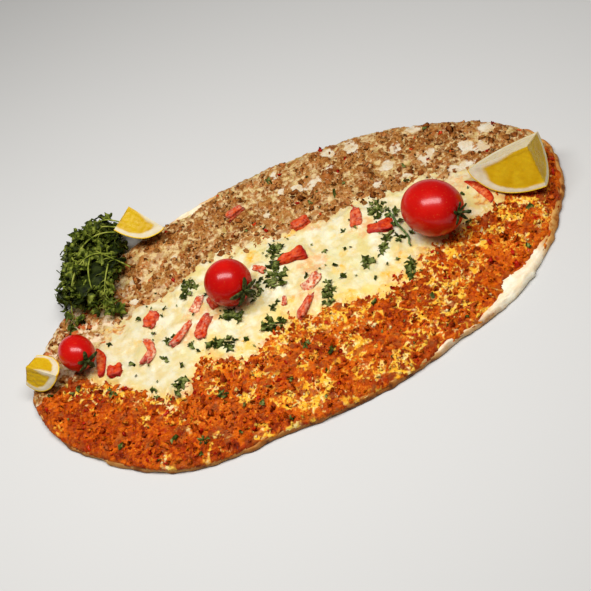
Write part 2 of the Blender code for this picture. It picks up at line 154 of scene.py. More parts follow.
# %% Soft hills
def hills(x, y, size, seed):
    """Smooth random heights from -1 to 1, with hills about size apart."""
    rng = np.random.default_rng(seed)
    table, turn = rng.uniform(-1.0, 1.0, (128, 128)), rng.uniform(0.3, 1.2)
    x, y = np.asarray(x), np.asarray(y)
    u = (x * math.cos(turn) - y * math.sin(turn)) / size + 64.37
    v = (x * math.sin(turn) + y * math.cos(turn)) / size + 64.71
    i, j = np.floor(u).astype(int), np.floor(v).astype(int)
    fu, fv = u - i, v - j
    fu, fv = fu * fu * (3 - 2 * fu), fv * fv * (3 - 2 * fv)
    i, j = i % 127, j % 127
    low = table[i, j] * (1 - fu) + table[i + 1, j] * fu
    high = table[i, j + 1] * (1 - fu) + table[i + 1, j + 1] * fu
    return low * (1 - fv) + high * fv


def uneven(x, y, *layers):
    """Hills of several sizes, added up. Each layer is (height, size in mm, seed)."""
    return sum(height * hills(x, y, size * MM, seed) for height, size, seed in layers)


def step(value, low, high):
    """0 below low, 1 above high and smooth between."""
    t = np.clip((value - low) / (high - low), 0.0, 1.0)
    return t * t * (3 - 2 * t)


print("hills at the origin:", round(float(hills(0.0, 0.0, 10 * MM, SEED)), 3))


# %% [markdown]
# ## Meshes and pieces
# Every piece is a mesh in the bread's own frame, with its object at the origin. One helper makes it,
# shades it smooth and stores any value that its material reads, such as how toasted each point is.

# %% Make a piece, and hand it over
def linked(name, data):
    """A new object in the scene for a mesh, a light or a camera."""
    made = bpy.data.objects.new(name, data)
    bpy.context.scene.collection.objects.link(made)
    return made


def store(mesh, key, numbers):
    """Keeps one number for each point, for a material or a node tree to read."""
    kept = mesh.attributes.get(key) or mesh.attributes.new(key, "FLOAT", "POINT")
    kept.data.foreach_set("value", np.asarray(numbers, float))


def read(mesh, key):
    """The numbers that store kept."""
    numbers = np.empty(len(mesh.vertices))
    mesh.attributes[key].data.foreach_get("value", numbers)
    return numbers


def make_mesh(name, points, faces, **values):
    """A smooth mesh object. Each extra argument becomes a value on its points."""
    mesh = bpy.data.meshes.new(name)
    mesh.from_pydata(np.asarray(points, float).tolist(), [], faces)
    mesh.shade_smooth()
    for key, numbers in values.items():
        store(mesh, key, numbers)
    return linked(name, mesh)


def hand_over(made, material, slot, *nodes):
    """Gives a piece its material and its body, and hides the solids that it stands for."""
    if material:
        made.data.materials.clear()
        made.data.materials.append(material)
    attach(made, "root")
    if nodes:
        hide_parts(*nodes)
    print(made.name, "has", len(made.data.polygons), "faces")
    return made


# %% Edit a mesh, and list the faces between rings
@contextmanager
def editing(made):
    """An editable copy of an object's mesh, written back when the block ends."""
    bm = bmesh.new()
    bm.from_mesh(made.data)
    yield bm
    bm.to_mesh(made.data)
    bm.free()


def tidy_normals(made, merge=0.01 * MM):
    """Merges doubles and points every face outwards."""
    with editing(made) as bm:
        bmesh.ops.remove_doubles(bm, verts=bm.verts[:], dist=merge)
        bmesh.ops.recalc_face_normals(bm, faces=bm.faces[:])
    return made


def take_in(made, other):
    """Moves another object's faces into a piece, and points every face outwards."""
    with editing(made) as bm:
        bm.from_mesh(other.data)
        bmesh.ops.recalc_face_normals(bm, faces=bm.faces[:])
    bpy.data.objects.remove(other)


def evaluated_mesh(made):
    """The mesh that an object's modifiers make."""
    return bpy.data.meshes.new_from_object(made.evaluated_get(bpy.context.evaluated_depsgraph_get()))


def ring_faces(rings, count):
    """Quads between closed rings of count points, listed ring after ring."""
    faces = []
    for ring in range(rings - 1):
        for i in range(count):
            j = (i + 1) % count
            a, b = ring * count, (ring + 1) * count
            faces.append((a + i, a + j, b + j, b + i))
    return faces


# %% [markdown]
# ## Finishes that several foods share
# Mottled colour, toasted spots, wet patches and a fine grain turn up on the dough, the meat and the cheese
# alike. Each is a shader node group with named inputs, built once. Inside, it reads Object coordinates, so
# the pattern stays on the food from any side. The Principled shader stays in each material.

# %% Small helpers for node trees
def feed(tree, socket, value):
    """Links a socket or sets a plain value."""
    if isinstance(value, bpy.types.NodeSocket):
        tree.links.new(value, socket)
    else:
        socket.default_value = value


def put(tree, kind, given=(), **settings):
    """A new node with its settings. What is given feeds its inputs, by their name or place."""
    made = tree.nodes.new(kind)
    for key, value in settings.items():
        setattr(made, key, value)
    for key, value in dict(given).items():
        feed(tree, made.inputs[key], value)
    return made


def maths(tree, operation, a, b, clamp=False):
    return put(tree, "ShaderNodeMath", {0: a, 1: b}, operation=operation, use_clamp=clamp).outputs[0]


def times(tree, a, b):
    return maths(tree, "MULTIPLY", a, b)


def plus(tree, a, b, clamp=False):
    return maths(tree, "ADD", a, b, clamp)


def minus(tree, a, b):
    return maths(tree, "SUBTRACT", a, b)


# %% Colours, limits and noise
def ramp(tree, factor, *stops):
    """A colour ramp. Each stop is (place, colour)."""
    made = put(tree, "ShaderNodeValToRGB", {0: factor})
    bands = made.color_ramp.elements
    while len(bands) < len(stops):
        bands.new(0.5)
    for band, (place, colour) in zip(bands, stops):
        band.position = place
        band.color = (*colour, 1.0)
    return made.outputs[0]


def blend(tree, factor, a, b):
    """One colour over another."""
    a, b = ((*colour, 1.0) if isinstance(colour, tuple) else colour for colour in (a, b))
    return put(tree, "ShaderNodeMix", {0: factor, 6: a, 7: b}, data_type="RGBA").outputs[2]


def limits(tree, value, low, high, to_low=0.0, to_high=1.0):
    """Stretches a value from one range to another, smooth at both ends."""
    given = enumerate((value, low, high, to_low, to_high))
    return put(tree, "ShaderNodeMapRange", given, interpolation_type="SMOOTHSTEP").outputs[0]


def stored(tree, name):
    """A value that was stored on the mesh."""
    return put(tree, "ShaderNodeAttribute", attribute_name=name).outputs["Fac"]


def spots(tree, scale, detail=3.0, roughness=0.55, stretch=None):
    """Soft noise on Object coordinates, with scale in spots for each metre."""
    place = put(tree, "ShaderNodeTexCoord").outputs["Object"]
    if stretch:
        place = put(tree, "ShaderNodeMapping", {"Vector": place, "Scale": stretch}).outputs[0]
    given = {"Vector": place, "Scale": scale, "Detail": detail, "Roughness": roughness}
    return put(tree, "ShaderNodeTexNoise", given).outputs["Fac"]


# %% Shared groups: mottling, browning, sheen and grain
def group(name, inputs, output):
    """An empty shader group with float inputs and one float output."""
    tree = bpy.data.node_groups.new(name, "ShaderNodeTree")
    for key, value in inputs.items():
        tree.interface.new_socket(key, in_out="INPUT", socket_type="NodeSocketFloat").default_value = value
    tree.interface.new_socket(output, in_out="OUTPUT", socket_type="NodeSocketFloat")
    return tree, put(tree, "NodeGroupInput").outputs, put(tree, "NodeGroupOutput").inputs[0]


def make_mottling():
    """A mask of soft patches: Scale patches for each metre, Balance is how much is covered."""
    tree, given, out = group("Mottling", {"Scale": 100.0, "Balance": 0.5, "Softness": 0.1}, "Mask")
    patches = spots(tree, given["Scale"], 4.0)
    middle = minus(tree, 1.0, given["Balance"])
    low, high = minus(tree, middle, given["Softness"]), plus(tree, middle, given["Softness"])
    feed(tree, out, limits(tree, patches, low, high))
    return tree


def make_browning():
    """Sparse toasted spots, ragged at their edge."""
    tree, given, out = group("Browning", {"Scale": 60.0, "Amount": 0.2}, "Mask")
    large = spots(tree, given["Scale"], 2.0)
    ragged = spots(tree, times(tree, given["Scale"], 5.0), 4.0, 0.7)
    both = plus(tree, times(tree, large, 0.8), times(tree, ragged, 0.2))
    low = minus(tree, 0.72, given["Amount"])
    feed(tree, out, limits(tree, both, low, plus(tree, low, 0.12)))
    return tree


def make_sheen():
    """Roughness that changes from wet to dry over a few millimetres."""
    tree, given, out = group("Oily sheen", {"Scale": 200.0, "Wet": 0.2, "Dry": 0.5}, "Roughness")
    patches = limits(tree, spots(tree, given["Scale"], 3.0), 0.38, 0.62)
    span = minus(tree, given["Dry"], given["Wet"])
    feed(tree, out, plus(tree, given["Wet"], times(tree, span, patches)))
    return tree


def make_grain():
    """A height of fine grain on coarser lumps."""
    tree, given, out = group("Fine grain", {"Scale": 700.0, "Coarse": 0.5}, "Height")
    fine = spots(tree, given["Scale"], 4.0, 0.65)
    coarse = spots(tree, times(tree, given["Scale"], 0.3), 3.0)
    feed(tree, out, plus(tree, fine, times(tree, coarse, given["Coarse"])))
    return tree


GROUPS = {
    "mottling": make_mottling(), "browning": make_browning(), "sheen": make_sheen(), "grain": make_grain(),
}


def use(tree, name, **values):
    """Places a shared group in a material with its own values."""
    return put(tree, "ShaderNodeGroup", values, node_tree=GROUPS[name]).outputs[0]


# %% Start a material, and dress it
SHADER = "Principled BSDF"


def finish(name, subsurface, specular, glow=(1.0, 0.6, 0.3), coat=0.0, coat_rough=0.1):
    """A new material with the plain values of its shader set."""
    material = bpy.data.materials.new(name)
    material.use_nodes = True
    plain = {
        "Subsurface Weight": subsurface, "Subsurface Radius": glow, "Subsurface Scale": 2.0 * MM,
        "Coat Weight": coat, "Coat Roughness": coat_rough, "Specular IOR Level": specular,
    }
    for key, value in plain.items():
        material.node_tree.nodes[SHADER].inputs[key].default_value = value
    return material, material.node_tree


def dressed(material, colour, sheen, grain, bump):
    """Adds colour, sheen as (Scale, Wet, Dry), grain as (Scale, Coarse) and bump as (strength, depth)."""
    tree = material.node_tree
    shader = tree.nodes[SHADER]
    rough = use(tree, "sheen", **dict(zip(("Scale", "Wet", "Dry"), sheen)))
    height = use(tree, "grain", **dict(zip(("Scale", "Coarse"), grain)))
    raised = put(tree, "ShaderNodeBump", {"Strength": bump[0], "Distance": bump[1], "Height": height})
    for key, value in (("Base Color", colour), ("Roughness", rough), ("Normal", raised.outputs[0])):
        feed(tree, shader.inputs[key], value)
    return material


print("shared finishes:", ", ".join(tree.name for tree in GROUPS.values()))


# %% [markdown]
# ## One map of heights for the whole bread
# Dough, meat and cheese meet along ragged lines. If each were modelled alone they would gape or overlap.
# So one fine grid covers the bread, and each layer is a height on that grid. Where two layers cross, the
# higher one shows, which gives the uneven borders that baked toppings have.

# %% The grid, the distance from the edge and the rim's shape
CELL = 0.6 * MM
RIM_TOP = float(dough_points[:, 2].max())
TOPPING_TOP = float(cheese_points[:, 2].max())
grid_x = np.arange(dough_points[:, 0].min() - CELL, dough_points[:, 0].max() + 2 * CELL, CELL)
grid_y = np.arange(dough_points[:, 1].min() - CELL, dough_points[:, 1].max() + 2 * CELL, CELL)
X, Y = np.meshgrid(grid_x, grid_y, indexing="ij")
ROUND = np.linspace(-math.pi, math.pi, 1441)
EDGE_ROUND, FOOT_ROUND = outline(EDGE, ROUND), outline(FOOT, ROUND)


def inward(x, y):
    """0 at the bread's edge and 1 at the foot of its rim, more further in."""
    angle, radius = np.arctan2(y, x), np.hypot(x, y)
    edge = np.interp(angle, ROUND, EDGE_ROUND)
    foot = np.interp(angle, ROUND, FOOT_ROUND)
    return (edge - radius) / (edge - foot)


def near_angle(angle, middle, spread):
    gap = (angle - math.radians(middle) + math.pi) % (2 * math.pi) - math.pi
    return np.exp(-(gap / math.radians(spread)) ** 2)


def rim_height(inside, angle):
    """The dough's upper surface: a rounded rim, lumpy along its length, and flat inside."""
    x, y = 150 * MM * np.cos(angle) * (1 - 0.1 * inside), 100 * MM * np.sin(angle) * (1 - 0.1 * inside)
    lumps = 1.0 + 0.6 * hills(x, y, 9 * MM, 11) + 0.45 * hills(x, y, 4 * MM, 12)
    puffed = 0.4 + 0.3 * near_angle(angle, -50, 22) + 0.2 * near_angle(angle, 5, 22)
    crest = DOUGH_TOP + (RIM_TOP - DOUGH_TOP) * lumps * puffed
    blisters = 0.5 * MM * hills(x, y + 20 * MM * inside, 2.6 * MM, 13) * puffed
    inner = DOUGH_TOP + (crest - DOUGH_TOP) * step(-inside, -1.1, -0.4)
    shoulder = np.clip((0.45 - inside) / 0.45, 0.0, 1.0)
    outer = crest * (0.25 + 0.75 * np.sqrt(1.0 - shoulder ** 2))
    return np.where(inside > 0.45, inner, outer) + blisters * step(inside, 0.0, 0.3)


INSIDE = inward(X, Y)
TURN = np.arctan2(Y, X)
DOUGH = np.where(INSIDE > 0, rim_height(np.clip(INSIDE, 0, None), TURN), 0.0)
print("the map has", X.size, "points")


# %% How high the toppings lie, and where they stop
front_right = near_angle(TURN, -36, 20)
STOP = 0.24 + 0.22 * hills(X, Y, 6 * MM, 21) + 0.18 * hills(X, Y, 2.5 * MM, 22) + 0.35 * front_right
STOP += 1.3 * near_angle(TURN, 111, 8) + 1.1 * near_angle(TURN, -35, 6.5) + 0.2 * near_angle(TURN, 2, 14)
HIDDEN = np.maximum(STOP - 0.4, 0.06)
ON = 0.45 * step(INSIDE, STOP - 0.2, STOP + 0.1) + 0.55 * step(INSIDE, STOP, STOP + 1.6)
SWELL = uneven(X, Y, (0.5, 22, 23), (0.35, 9, 24))
PLATEAU = TOPPING_TOP - 0.6 * MM + SWELL * MM
BASE = DOUGH_TOP + 0.6 * MM + (PLATEAU - DOUGH_TOP - 0.6 * MM) * ON
RAGGED = inside_cheese(X, Y) + uneven(X, Y, (4.0, 13, 25), (1.8, 5, 26)) * MM
RAGGED -= 9 * MM * np.exp(-((X + 124 * MM) ** 2 + (Y - 30 * MM) ** 2) / (21 * MM) ** 2)
MIXED = RAGGED + 4.5 * MM * hills(X, Y, 4.2 * MM, 28)
BEHIND = behind(X, Y) + 3 * MM * hills(X, Y, 8 * MM, 27)
print("toppings lie", round(float(BASE.max()) / MM, 1), "mm high at most")


# %% Turn a height into a closed slab
SLAB_FLOOR = DOUGH_TOP + 0.05 * MM


def slab(name, height, keep, **values):
    """A closed mesh: the kept cells on top, a wall round them and a flat floor on the dough."""
    cells = keep[:-1, :-1] & keep[1:, :-1] & keep[:-1, 1:] & keep[1:, 1:]
    i, j = np.nonzero(cells)
    width = grid_y.size
    quads = np.stack([i * width + j, (i + 1) * width + j, (i + 1) * width + j + 1, i * width + j + 1], 1)
    used, faces = np.unique(quads, return_inverse=True)
    points = np.stack([grid.ravel()[used] for grid in (X, Y, height)], 1)
    picked = {key: grid.ravel()[used] for key, grid in values.items()}
    made = make_mesh(name, points, faces.reshape(-1, 4).tolist(), **picked)
    with editing(made) as bm:
        top_faces = len(bm.faces)
        border_edges = [edge for edge in bm.edges if edge.is_boundary]
        wall = bmesh.ops.extrude_edge_only(bm, edges=border_edges)["geom"]
        low = {item for item in wall if isinstance(item, bmesh.types.BMVert)}
        for point in low:
            point.co.z = SLAB_FLOOR
        ring = [item for item in wall if isinstance(item, bmesh.types.BMEdge) and set(item.verts) <= low]
        bmesh.ops.triangle_fill(bm, edges=ring, use_beauty=False)
        bmesh.ops.recalc_face_normals(bm, faces=bm.faces[:])
        # Extrusion lists the wall's faces in another order each run, and scattered pieces follow the order
        # of the faces, so the wall's are put in the order of their points. sort() goes by the index.
        bm.verts.index_update()
        bm.faces.index_update()
        sides = [item for item in wall if isinstance(item, bmesh.types.BMFace)]
        sides.sort(key=lambda face: sorted(point.index for point in face.verts))
        for place, face in enumerate(sides, start=top_faces):
            face.index = place
        bm.faces.sort()
    made.data.shade_smooth()
    return made


# %% [markdown]
# ## Crumbs of meat, first as relief
# Minced meat is thousands of crumbs, most of them smaller than a grain of rice. The small ones are bumps
# pressed into the map: for each crumb, the points near it rise to a low dome if they are lower than it.
# The dome's own tint is kept, so colour and shape agree. Bending the grid a little makes each crumb uneven.

# %% Drop crumbs on the map
def strew(chance, tries, small, large, seed, thin=0.65, clumps=0.35, spread=0.27):
    """Crumbs where chance allows. Gives their height, their tint and how much they cover."""
    rng = np.random.default_rng(seed)
    bent_x = X + uneven(X, Y, (1.7, 3.4, seed + 1), (1.0, 1.5, seed + 3)) * MM
    bent_y = Y + uneven(X, Y, (1.7, 3.4, seed + 2), (1.0, 1.5, seed + 4)) * MM
    family = 0.5 + clumps * hills(X, Y, 9 * MM, seed + 5)
    height, tint = np.zeros_like(X), np.full_like(X, 0.5)
    rows = rng.integers(0, grid_x.size, tries)
    columns = rng.integers(0, grid_y.size, tries)
    kept = rng.random(tries) < chance[rows, columns]
    for row, column in zip(rows[kept], columns[kept]):
        size = rng.triangular(small, small, large)
        turn, shade = rng.uniform(0, math.pi), rng.normal(family[row, column], spread)
        reach = int(size / CELL) + 3
        near = np.s_[max(row - reach, 0):row + reach + 1, max(column - reach, 0):column + reach + 1]
        east, north = bent_x[near] - grid_x[row], bent_y[near] - grid_y[column]
        along = (east * math.cos(turn) + north * math.sin(turn)) / size
        across = (north * math.cos(turn) - east * math.sin(turn)) / (size * thin)
        tilt = 1.0 + 0.45 * along * math.cos(3 * turn) + 0.45 * across * math.sin(3 * turn)
        dome = 0.44 * size * tilt * np.clip(1.0 - along ** 2 - across ** 2, 0.0, 1.0) ** 0.35
        higher = dome > height[near]
        height[near][higher] = dome[higher]
        tint[near][higher] = shade
    return height, np.clip(tint, 0.0, 1.0), step(height, 0.1 * MM, 0.5 * MM)


def blots(spots_at, grow=1.0):
    """A mask of uneven round patches, from a list of (x, y, radius) in mm."""
    mask = np.zeros_like(X)
    wobble = 1.0 + 0.35 * hills(X, Y, 5 * MM, 31) + 0.2 * hills(X, Y, 2 * MM, 32)
    for x, y, radius in spots_at:
        away = np.hypot(X - x * MM, Y - y * MM) / (radius * MM * grow)
        mask = np.maximum(mask, step(-away * wobble, -1.15, -0.75))
    return mask


# %% [markdown]
# ## The bread
# The base is dough rolled thin, with a low rim that puffs up unevenly and toasts at the edge. It is a mesh
# of rings: each ring follows the outline at its own distance from the edge. The rings are close together
# over the rim, where the shape changes, and far apart inside, where toppings hide the dough.

# %% The dough's rings
STEPS = 900
RIM_RINGS = 22
around = np.arange(STEPS) * 2 * math.pi / STEPS
edge_now, foot_now = outline(EDGE, around), outline(FOOT, around)


def dough_ring(inside, height=None):
    """One ring of points, inside rim widths in from the edge."""
    wobble = uneven(edge_now * np.cos(around), edge_now * np.sin(around), (1.3, 11, 14), (0.7, 4.5, 15))
    wobble *= 1.0 + 0.9 * near_angle(around, 0, 22)
    radius = edge_now - inside * (edge_now - foot_now) + wobble * MM * max(1.0 - inside, 0.0)
    level = rim_height(np.full(STEPS, float(inside)), around) if height is None else height
    return np.stack([radius * np.cos(around), radius * np.sin(around), level], 1)


low_side = rim_height(np.zeros(STEPS), around)
rings = [dough_ring(3.0), dough_ring(1.6)]
rings += [dough_ring(1.1 * (1 - i / RIM_RINGS) ** 1.4) for i in range(RIM_RINGS)]
rings += [dough_ring(0.0), dough_ring(0.12, low_side * 0.5), dough_ring(0.4, low_side * 0.12)]
rings += [dough_ring(0.8, low_side * 0.0), dough_ring(4.0, low_side * 0.0)]
dough_places = np.concatenate(rings + [[[0, 0, DOUGH_TOP], [0, 0, 0]]])
ring_count = len(rings)
first, last = len(dough_places) - 2, len(dough_places) - 1
dough_faces = ring_faces(ring_count, STEPS)
dough_faces += [(first, (i + 1) % STEPS, i) for i in range(STEPS)]
last_ring = (ring_count - 1) * STEPS
dough_faces += [(last, last_ring + i, last_ring + (i + 1) % STEPS) for i in range(STEPS)]
print("dough rings:", ring_count)


# %% How toasted and how floured the rim is
place_turn = np.arctan2(dough_places[:, 1], dough_places[:, 0])
place_in = inward(dough_places[:, 0], dough_places[:, 1])
place_high = dough_places[:, 2] / RIM_TOP
flour = 1.5 * near_angle(place_turn, -35, 8.5) + 0.6 * near_angle(place_turn, -58, 14)
flour += 0.7 * near_angle(place_turn, 111, 9) + 0.4 * near_angle(place_turn, 55, 25)
flour *= 0.72 + 0.28 * step(place_in, 0.0, 0.3)
toast = 0.30 + 0.06 * near_angle(place_turn, 5, 20) + 0.16 * near_angle(place_turn, -100, 40)
toast += 0.14 * step(-place_in, -0.3, 0.0) - 0.36 * flour
toast = np.where(place_high < 0.05, 0.45, toast)
dough = make_mesh("dough", dough_places, dough_faces, flour=flour, toast=toast)
tidy_normals(dough)
print("most toasted:", round(float(toast.max()), 2))


# %% Baked dough, and hand the bread over
def baked_dough():
    material, tree = finish("baked dough", subsurface=0.08, specular=0.2)
    speckle = use(tree, "browning", Scale=110.0, Amount=0.2)
    mottled = use(tree, "mottling", Scale=260.0, Balance=0.5, Softness=0.2)
    toasted = plus(tree, stored(tree, "toast"), times(tree, speckle, 0.35))
    toasted = plus(tree, toasted, times(tree, mottled, 0.15))
    colour = ramp(
        tree, toasted,
        (0.0, (0.80, 0.58, 0.30)), (0.35, (0.66, 0.34, 0.09)), (0.65, (0.40, 0.125, 0.014)),
        (1.0, (0.12, 0.028, 0.004)),
    )
    dusted = times(tree, stored(tree, "flour"), limits(tree, mottled, 0.0, 1.0, 0.7, 1.0))
    thick_flour = limits(tree, spots(tree, 160.0, 4.0), 0.35, 0.65)
    powder = blend(tree, thick_flour, (0.87, 0.70, 0.46), (0.93, 0.85, 0.66))
    colour = blend(tree, limits(tree, dusted, 0.18, 0.65), colour, powder)
    return dressed(material, colour, sheen=(150.0, 0.5, 0.8), grain=(900.0, 0.9), bump=(0.5, 0.35 * MM))


hand_over(dough, baked_dough(), "dough", "dough_base")


# %% [markdown]
# ## Browned mince along the back
# Here the meat is fried brown and lies in loose crumbs. Between them the pale dough and a little fat show,
# and in some places the crumbs are missing, so a cream patch is left. The patches are listed one by one,
# because they give the band its character. The rest is random.

# %% What both bands of mince share
def may_lie(side):
    """Where crumbs may lie. Side is above 0 on the band's own side of the bread."""
    return (RAGGED < 13 * MM) & (side > -4 * MM) & (INSIDE > STOP)


def band_top(crumbs, side, seeds, calm=1.0):
    """The height of a band, which sinks under the cheese and past the middle of the bread."""
    sunk = 1.7 * MM * step(MIXED, -4 * MM, 14 * MM) + 2.5 * MM * step(-side, -1 * MM, 3 * MM)
    rough = uneven(X, Y, (0.35, 1.9, seeds[0]), (0.2, 1.2, seeds[1]))
    return BASE + crumbs * (0.3 + 0.7 * ON) - sunk + rough * MM * calm


def band_kept(top, side):
    """The points of the map that a band's slab keeps."""
    return (top > DOUGH - 1.2 * MM) & (INSIDE > HIDDEN) & (RAGGED < 14 * MM) & (side > -3 * MM)


def loose_chance(here):
    """Where loose crumbs may lie: inside the rim, and clear of the cheese."""
    return here * step(INSIDE, 0.6, 1.1) * (1 - step(RAGGED, 1 * MM, 7 * MM))


print("crumbs may lie behind the middle on", int(may_lie(BEHIND).sum()), "points")


# %% Brown mince: where it lies
BARE_PATCHES = (
    (59, 82, 6), (74, 77, 6), (39, 63, 8), (30, 66, 6), (21, 70, 4), (23, 85, 5), (55, 69, 4), (-88, 60, 3),
    (-91, 44, 4), (95, 57, 7), (73, 73, 5), (104, 38, 7), (112, 42, 5), (85, 48, 6), (73, 37, 5),
    (90, 31, 6), (131, 32, 9), (138, 24, 7), (150, 38, 8), (112, 66, 6), (116, 16, 9), (124, 18, 7),
    (-30, 72, 3), (-58, 62, 3), (5, 58, 3),
)
bare = blots(BARE_PATCHES, 0.66)
far_left = step(-X + 25 * MM * hills(X, Y, 15 * MM, 46), 72 * MM, 112 * MM)
brown_here = np.clip(0.75 + 0.9 * hills(X, Y, 8 * MM, 41) - 0.25 * far_left, 0.12, 1.0) * (1 - 0.93 * bare)
brown_here *= may_lie(BEHIND)
brown_height, brown_tint, brown_cover = strew(brown_here, 22000, 1.0 * MM, 2.7 * MM, 42, spread=0.24)
# The crumbs are painted darker towards the right end: painted shade of the light falling off there.
brown_tint = np.clip(brown_tint - 0.10 * step(X, 40 * MM, 110 * MM), 0.0, 1.0)
BROWN = band_top(brown_height, BEHIND, (43, 44), calm=1 - 0.8 * bare)
brown_keep = band_kept(BROWN, BEHIND)
print("brown crumbs cover", round(float(brown_cover[brown_keep].mean()), 2))


# %% Brown mince: its slab
brown_meat = slab(
    "brown_meat", BROWN, brown_keep, tint=brown_tint, crumb=brown_cover, bare=bare,
    chance=loose_chance(brown_here), pinkish=np.clip(0.25 + 0.75 * far_left, 0.0, 1.0),
)
print("brown mince:", [round(side / MM) for side in brown_meat.dimensions])


# %% [markdown]
# ## Oily red mince along the front
# This meat was cooked with tomato and pepper. Its oil turns orange, and a net of melted cheese shows
# between the clumps. The net is widest next to the cheese band and in a few patches at the front edge.

# %% Red mince: clumps, and a net of cheese
CHEESY_PATCHES = (
    (-29, -37, 7), (-15, -35, 8), (7, -50, 9), (8, -66, 7), (1, -42, 8), (20, -50, 7), (-42, -26, 6),
    (-72, -41, 5), (-93, -36, 5), (-100, -30, 4), (-115, -39, 3), (-112, -71, 4), (-40, -74, 6),
    (-23, -77, 8), (-32, -86, 5), (6, -81, 7), (23, -86, 6), (40, -78, 6), (74, -55, 8), (65, -66, 7),
    (50, -74, 6), (91, -54, 5), (113, -39, 5), (118, -52, 5), (26, -93, 4), (-44, -92, 5), (-61, -82, 5),
    (87, -38, 4), (121, -31, 6), (104, -22, 4), (134, -28, 5), (140, -40, 4), (-83, -72, 3),
    (-20, -56, 5), (-60, -60, 4),
)
cheesy = blots(CHEESY_PATCHES, 1.25)
yellowish = np.clip(0.9 * hills(X, Y, 19 * MM, 50) + 0.65 * step(X, -150 * MM, 40 * MM), 0.0, 1.0)
net = step(np.abs(uneven(X, Y, (1.0, 6, 51), (0.45, 2.4, 52))), 0.06, 0.30)
strands = step(np.abs(uneven(X, Y, (1.0, 3.6, 55), (0.5, 1.7, 56))), 0.05, 0.22)
near_cheese = step(RAGGED, -20 * MM, -1 * MM)
cheesy_net = cheesy * (1.0 - 0.75 * net * strands) + (0.14 + 0.65 * yellowish) * (1 - net)
cheesy_net = np.clip(cheesy_net + 0.7 * near_cheese * (1 - net * strands), 0.0, 1.0)
red_here = np.clip(1.0 - 0.7 * cheesy_net, 0.2, 1.0) * may_lie(-BEHIND)
red_height, red_tint, red_cover = strew(
    red_here, 17000, 1.0 * MM, 2.7 * MM, 53, thin=0.6, clumps=0.6, spread=0.2,
)
# Darker towards the left end: painted shade of the light falling off there. Lighter towards the right.
tone = 0.10 * step(X, 20 * MM, 80 * MM) - 0.12 * step(-X, 40 * MM, 100 * MM) + 0.20 * hills(X, Y, 13 * MM, 58)
tone += 0.20 * hills(X, Y, 5.5 * MM, 66) - 0.05 * (1.0 - cheesy) - 0.05
red_tint = np.clip(red_tint + tone, 0.0, 1.0)
web = cheesy * (1 - strands) + 0.5 * yellowish * (1 - net)
RED = band_top(red_height + 0.8 * MM * web, -BEHIND, (54, 57))
red_keep = band_kept(RED, -BEHIND)
print("red crumbs cover", round(float(red_cover[red_keep].mean()), 2))


# %% Red mince: its slab
red_meat = slab(
    "red_meat", RED, red_keep, tint=red_tint, crumb=red_cover, cheesy=cheesy_net,
    chance=loose_chance(red_here), pinkish=step(uneven(X, Y, (1.0, 8, 59), (0.9, 2.4, 60)), 0.0, 0.4),
)
print("red mince:", [round(side / MM) for side in red_meat.dimensions])


# %% [markdown]
# ## Melted cheese down the middle
# Melted cheese flows into soft lumps, sinks over what lies under it and rises a little round anything that
# was laid on top. It browns first where it is thin or bubbles up. The border is pulled about by soft hills,
# so that tongues of it run between the crumbs.

# %% Cheese: height and golden spots
GOLDEN_SPOTS = (
    (-16, 32, 5), (23, -9, 4), (30, -42, 6), (38, -38, 5), (31, 1, 3), (-11, -12, 3), (-100, 12, 3),
    (12, 38, 5), (4, 42, 4), (44, -30, 4), (20, -30, 5), (58, -22, 4), (-46, -26, 5), (-60, -14, 4),
)
BROWN_SPOTS = (
    (-116, 31, 6), (-108, 30, 4), (-124, 26, 4), (-128, 8, 4), (-126, 33, 4), (118, -14, 6), (96, -27, 5),
    (70, -26, 4),
)
RED_STAINS = (
    (12, 4, 7), (0, -16, 6), (25, 33, 5), (50, 10, 6), (-63, 12, 5), (-70, 0, 5), (110, 6, 7), (-54, 6, 5),
)
golden, browned, stained = blots(GOLDEN_SPOTS), blots(BROWN_SPOTS), blots(RED_STAINS, 1.3)
# tan paints the cheese duller and darker towards both ends: painted shade of the light falling off there.
tan = step(X + 20 * MM * hills(X, Y, 20 * MM, 65), 85 * MM, 135 * MM)
tan = np.maximum(tan, 0.45 * step(-X, 50 * MM, 100 * MM))
lumps = uneven(X, Y, (0.55, 8, 61), (0.5, 3.6, 62), (0.22, 1.8, 63))
thin = 1.0 - step(RAGGED + 3 * MM * hills(X, Y, 3 * MM, 64), -9 * MM, 11 * MM)
rise = np.zeros_like(X)
for node in NODES:
    if node.startswith(("tomato_piece", "tomato_slice", "parsley_sprig")):
        low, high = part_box(node)
        middle, half = (low + high) / 2, max((high - low).x, (high - low).y) / 2
        away = np.hypot(X - middle.x, Y - middle.y) / (half + 1.0 * MM)
        rise = np.maximum(rise, 1.5 * MM * step(-away, -1.5, -0.8))
CHEESE = BASE + 0.9 * MM + lumps * MM + rise - 1.8 * MM * thin
cheese_keep = (RAGGED > -9 * MM) & (INSIDE > 0.8)
front = 1.0 - step(BEHIND, -5 * MM, 5 * MM)
oily = front * (1.0 - step(RAGGED + 6 * MM * hills(X, Y, 9 * MM, 67), 3 * MM, 17 * MM))
cheese = slab(
    "cheese", CHEESE, cheese_keep, golden=golden, browned=browned, thin=thin, stained=stained, tan=tan,
    front=front, oily=oily, chance=step(RAGGED, 2 * MM, 8 * MM),
)
print("cheese:", [round(side / MM) for side in cheese.dimensions])


# %% [markdown]
# ## What mince and cheese look like
# Each crumb has its own tint from 0 to 1, and a colour ramp turns that into dark, mid or pale meat. The
# surface between crumbs is a second colour. Oil makes the red mince shine, and the fried mince is drier.

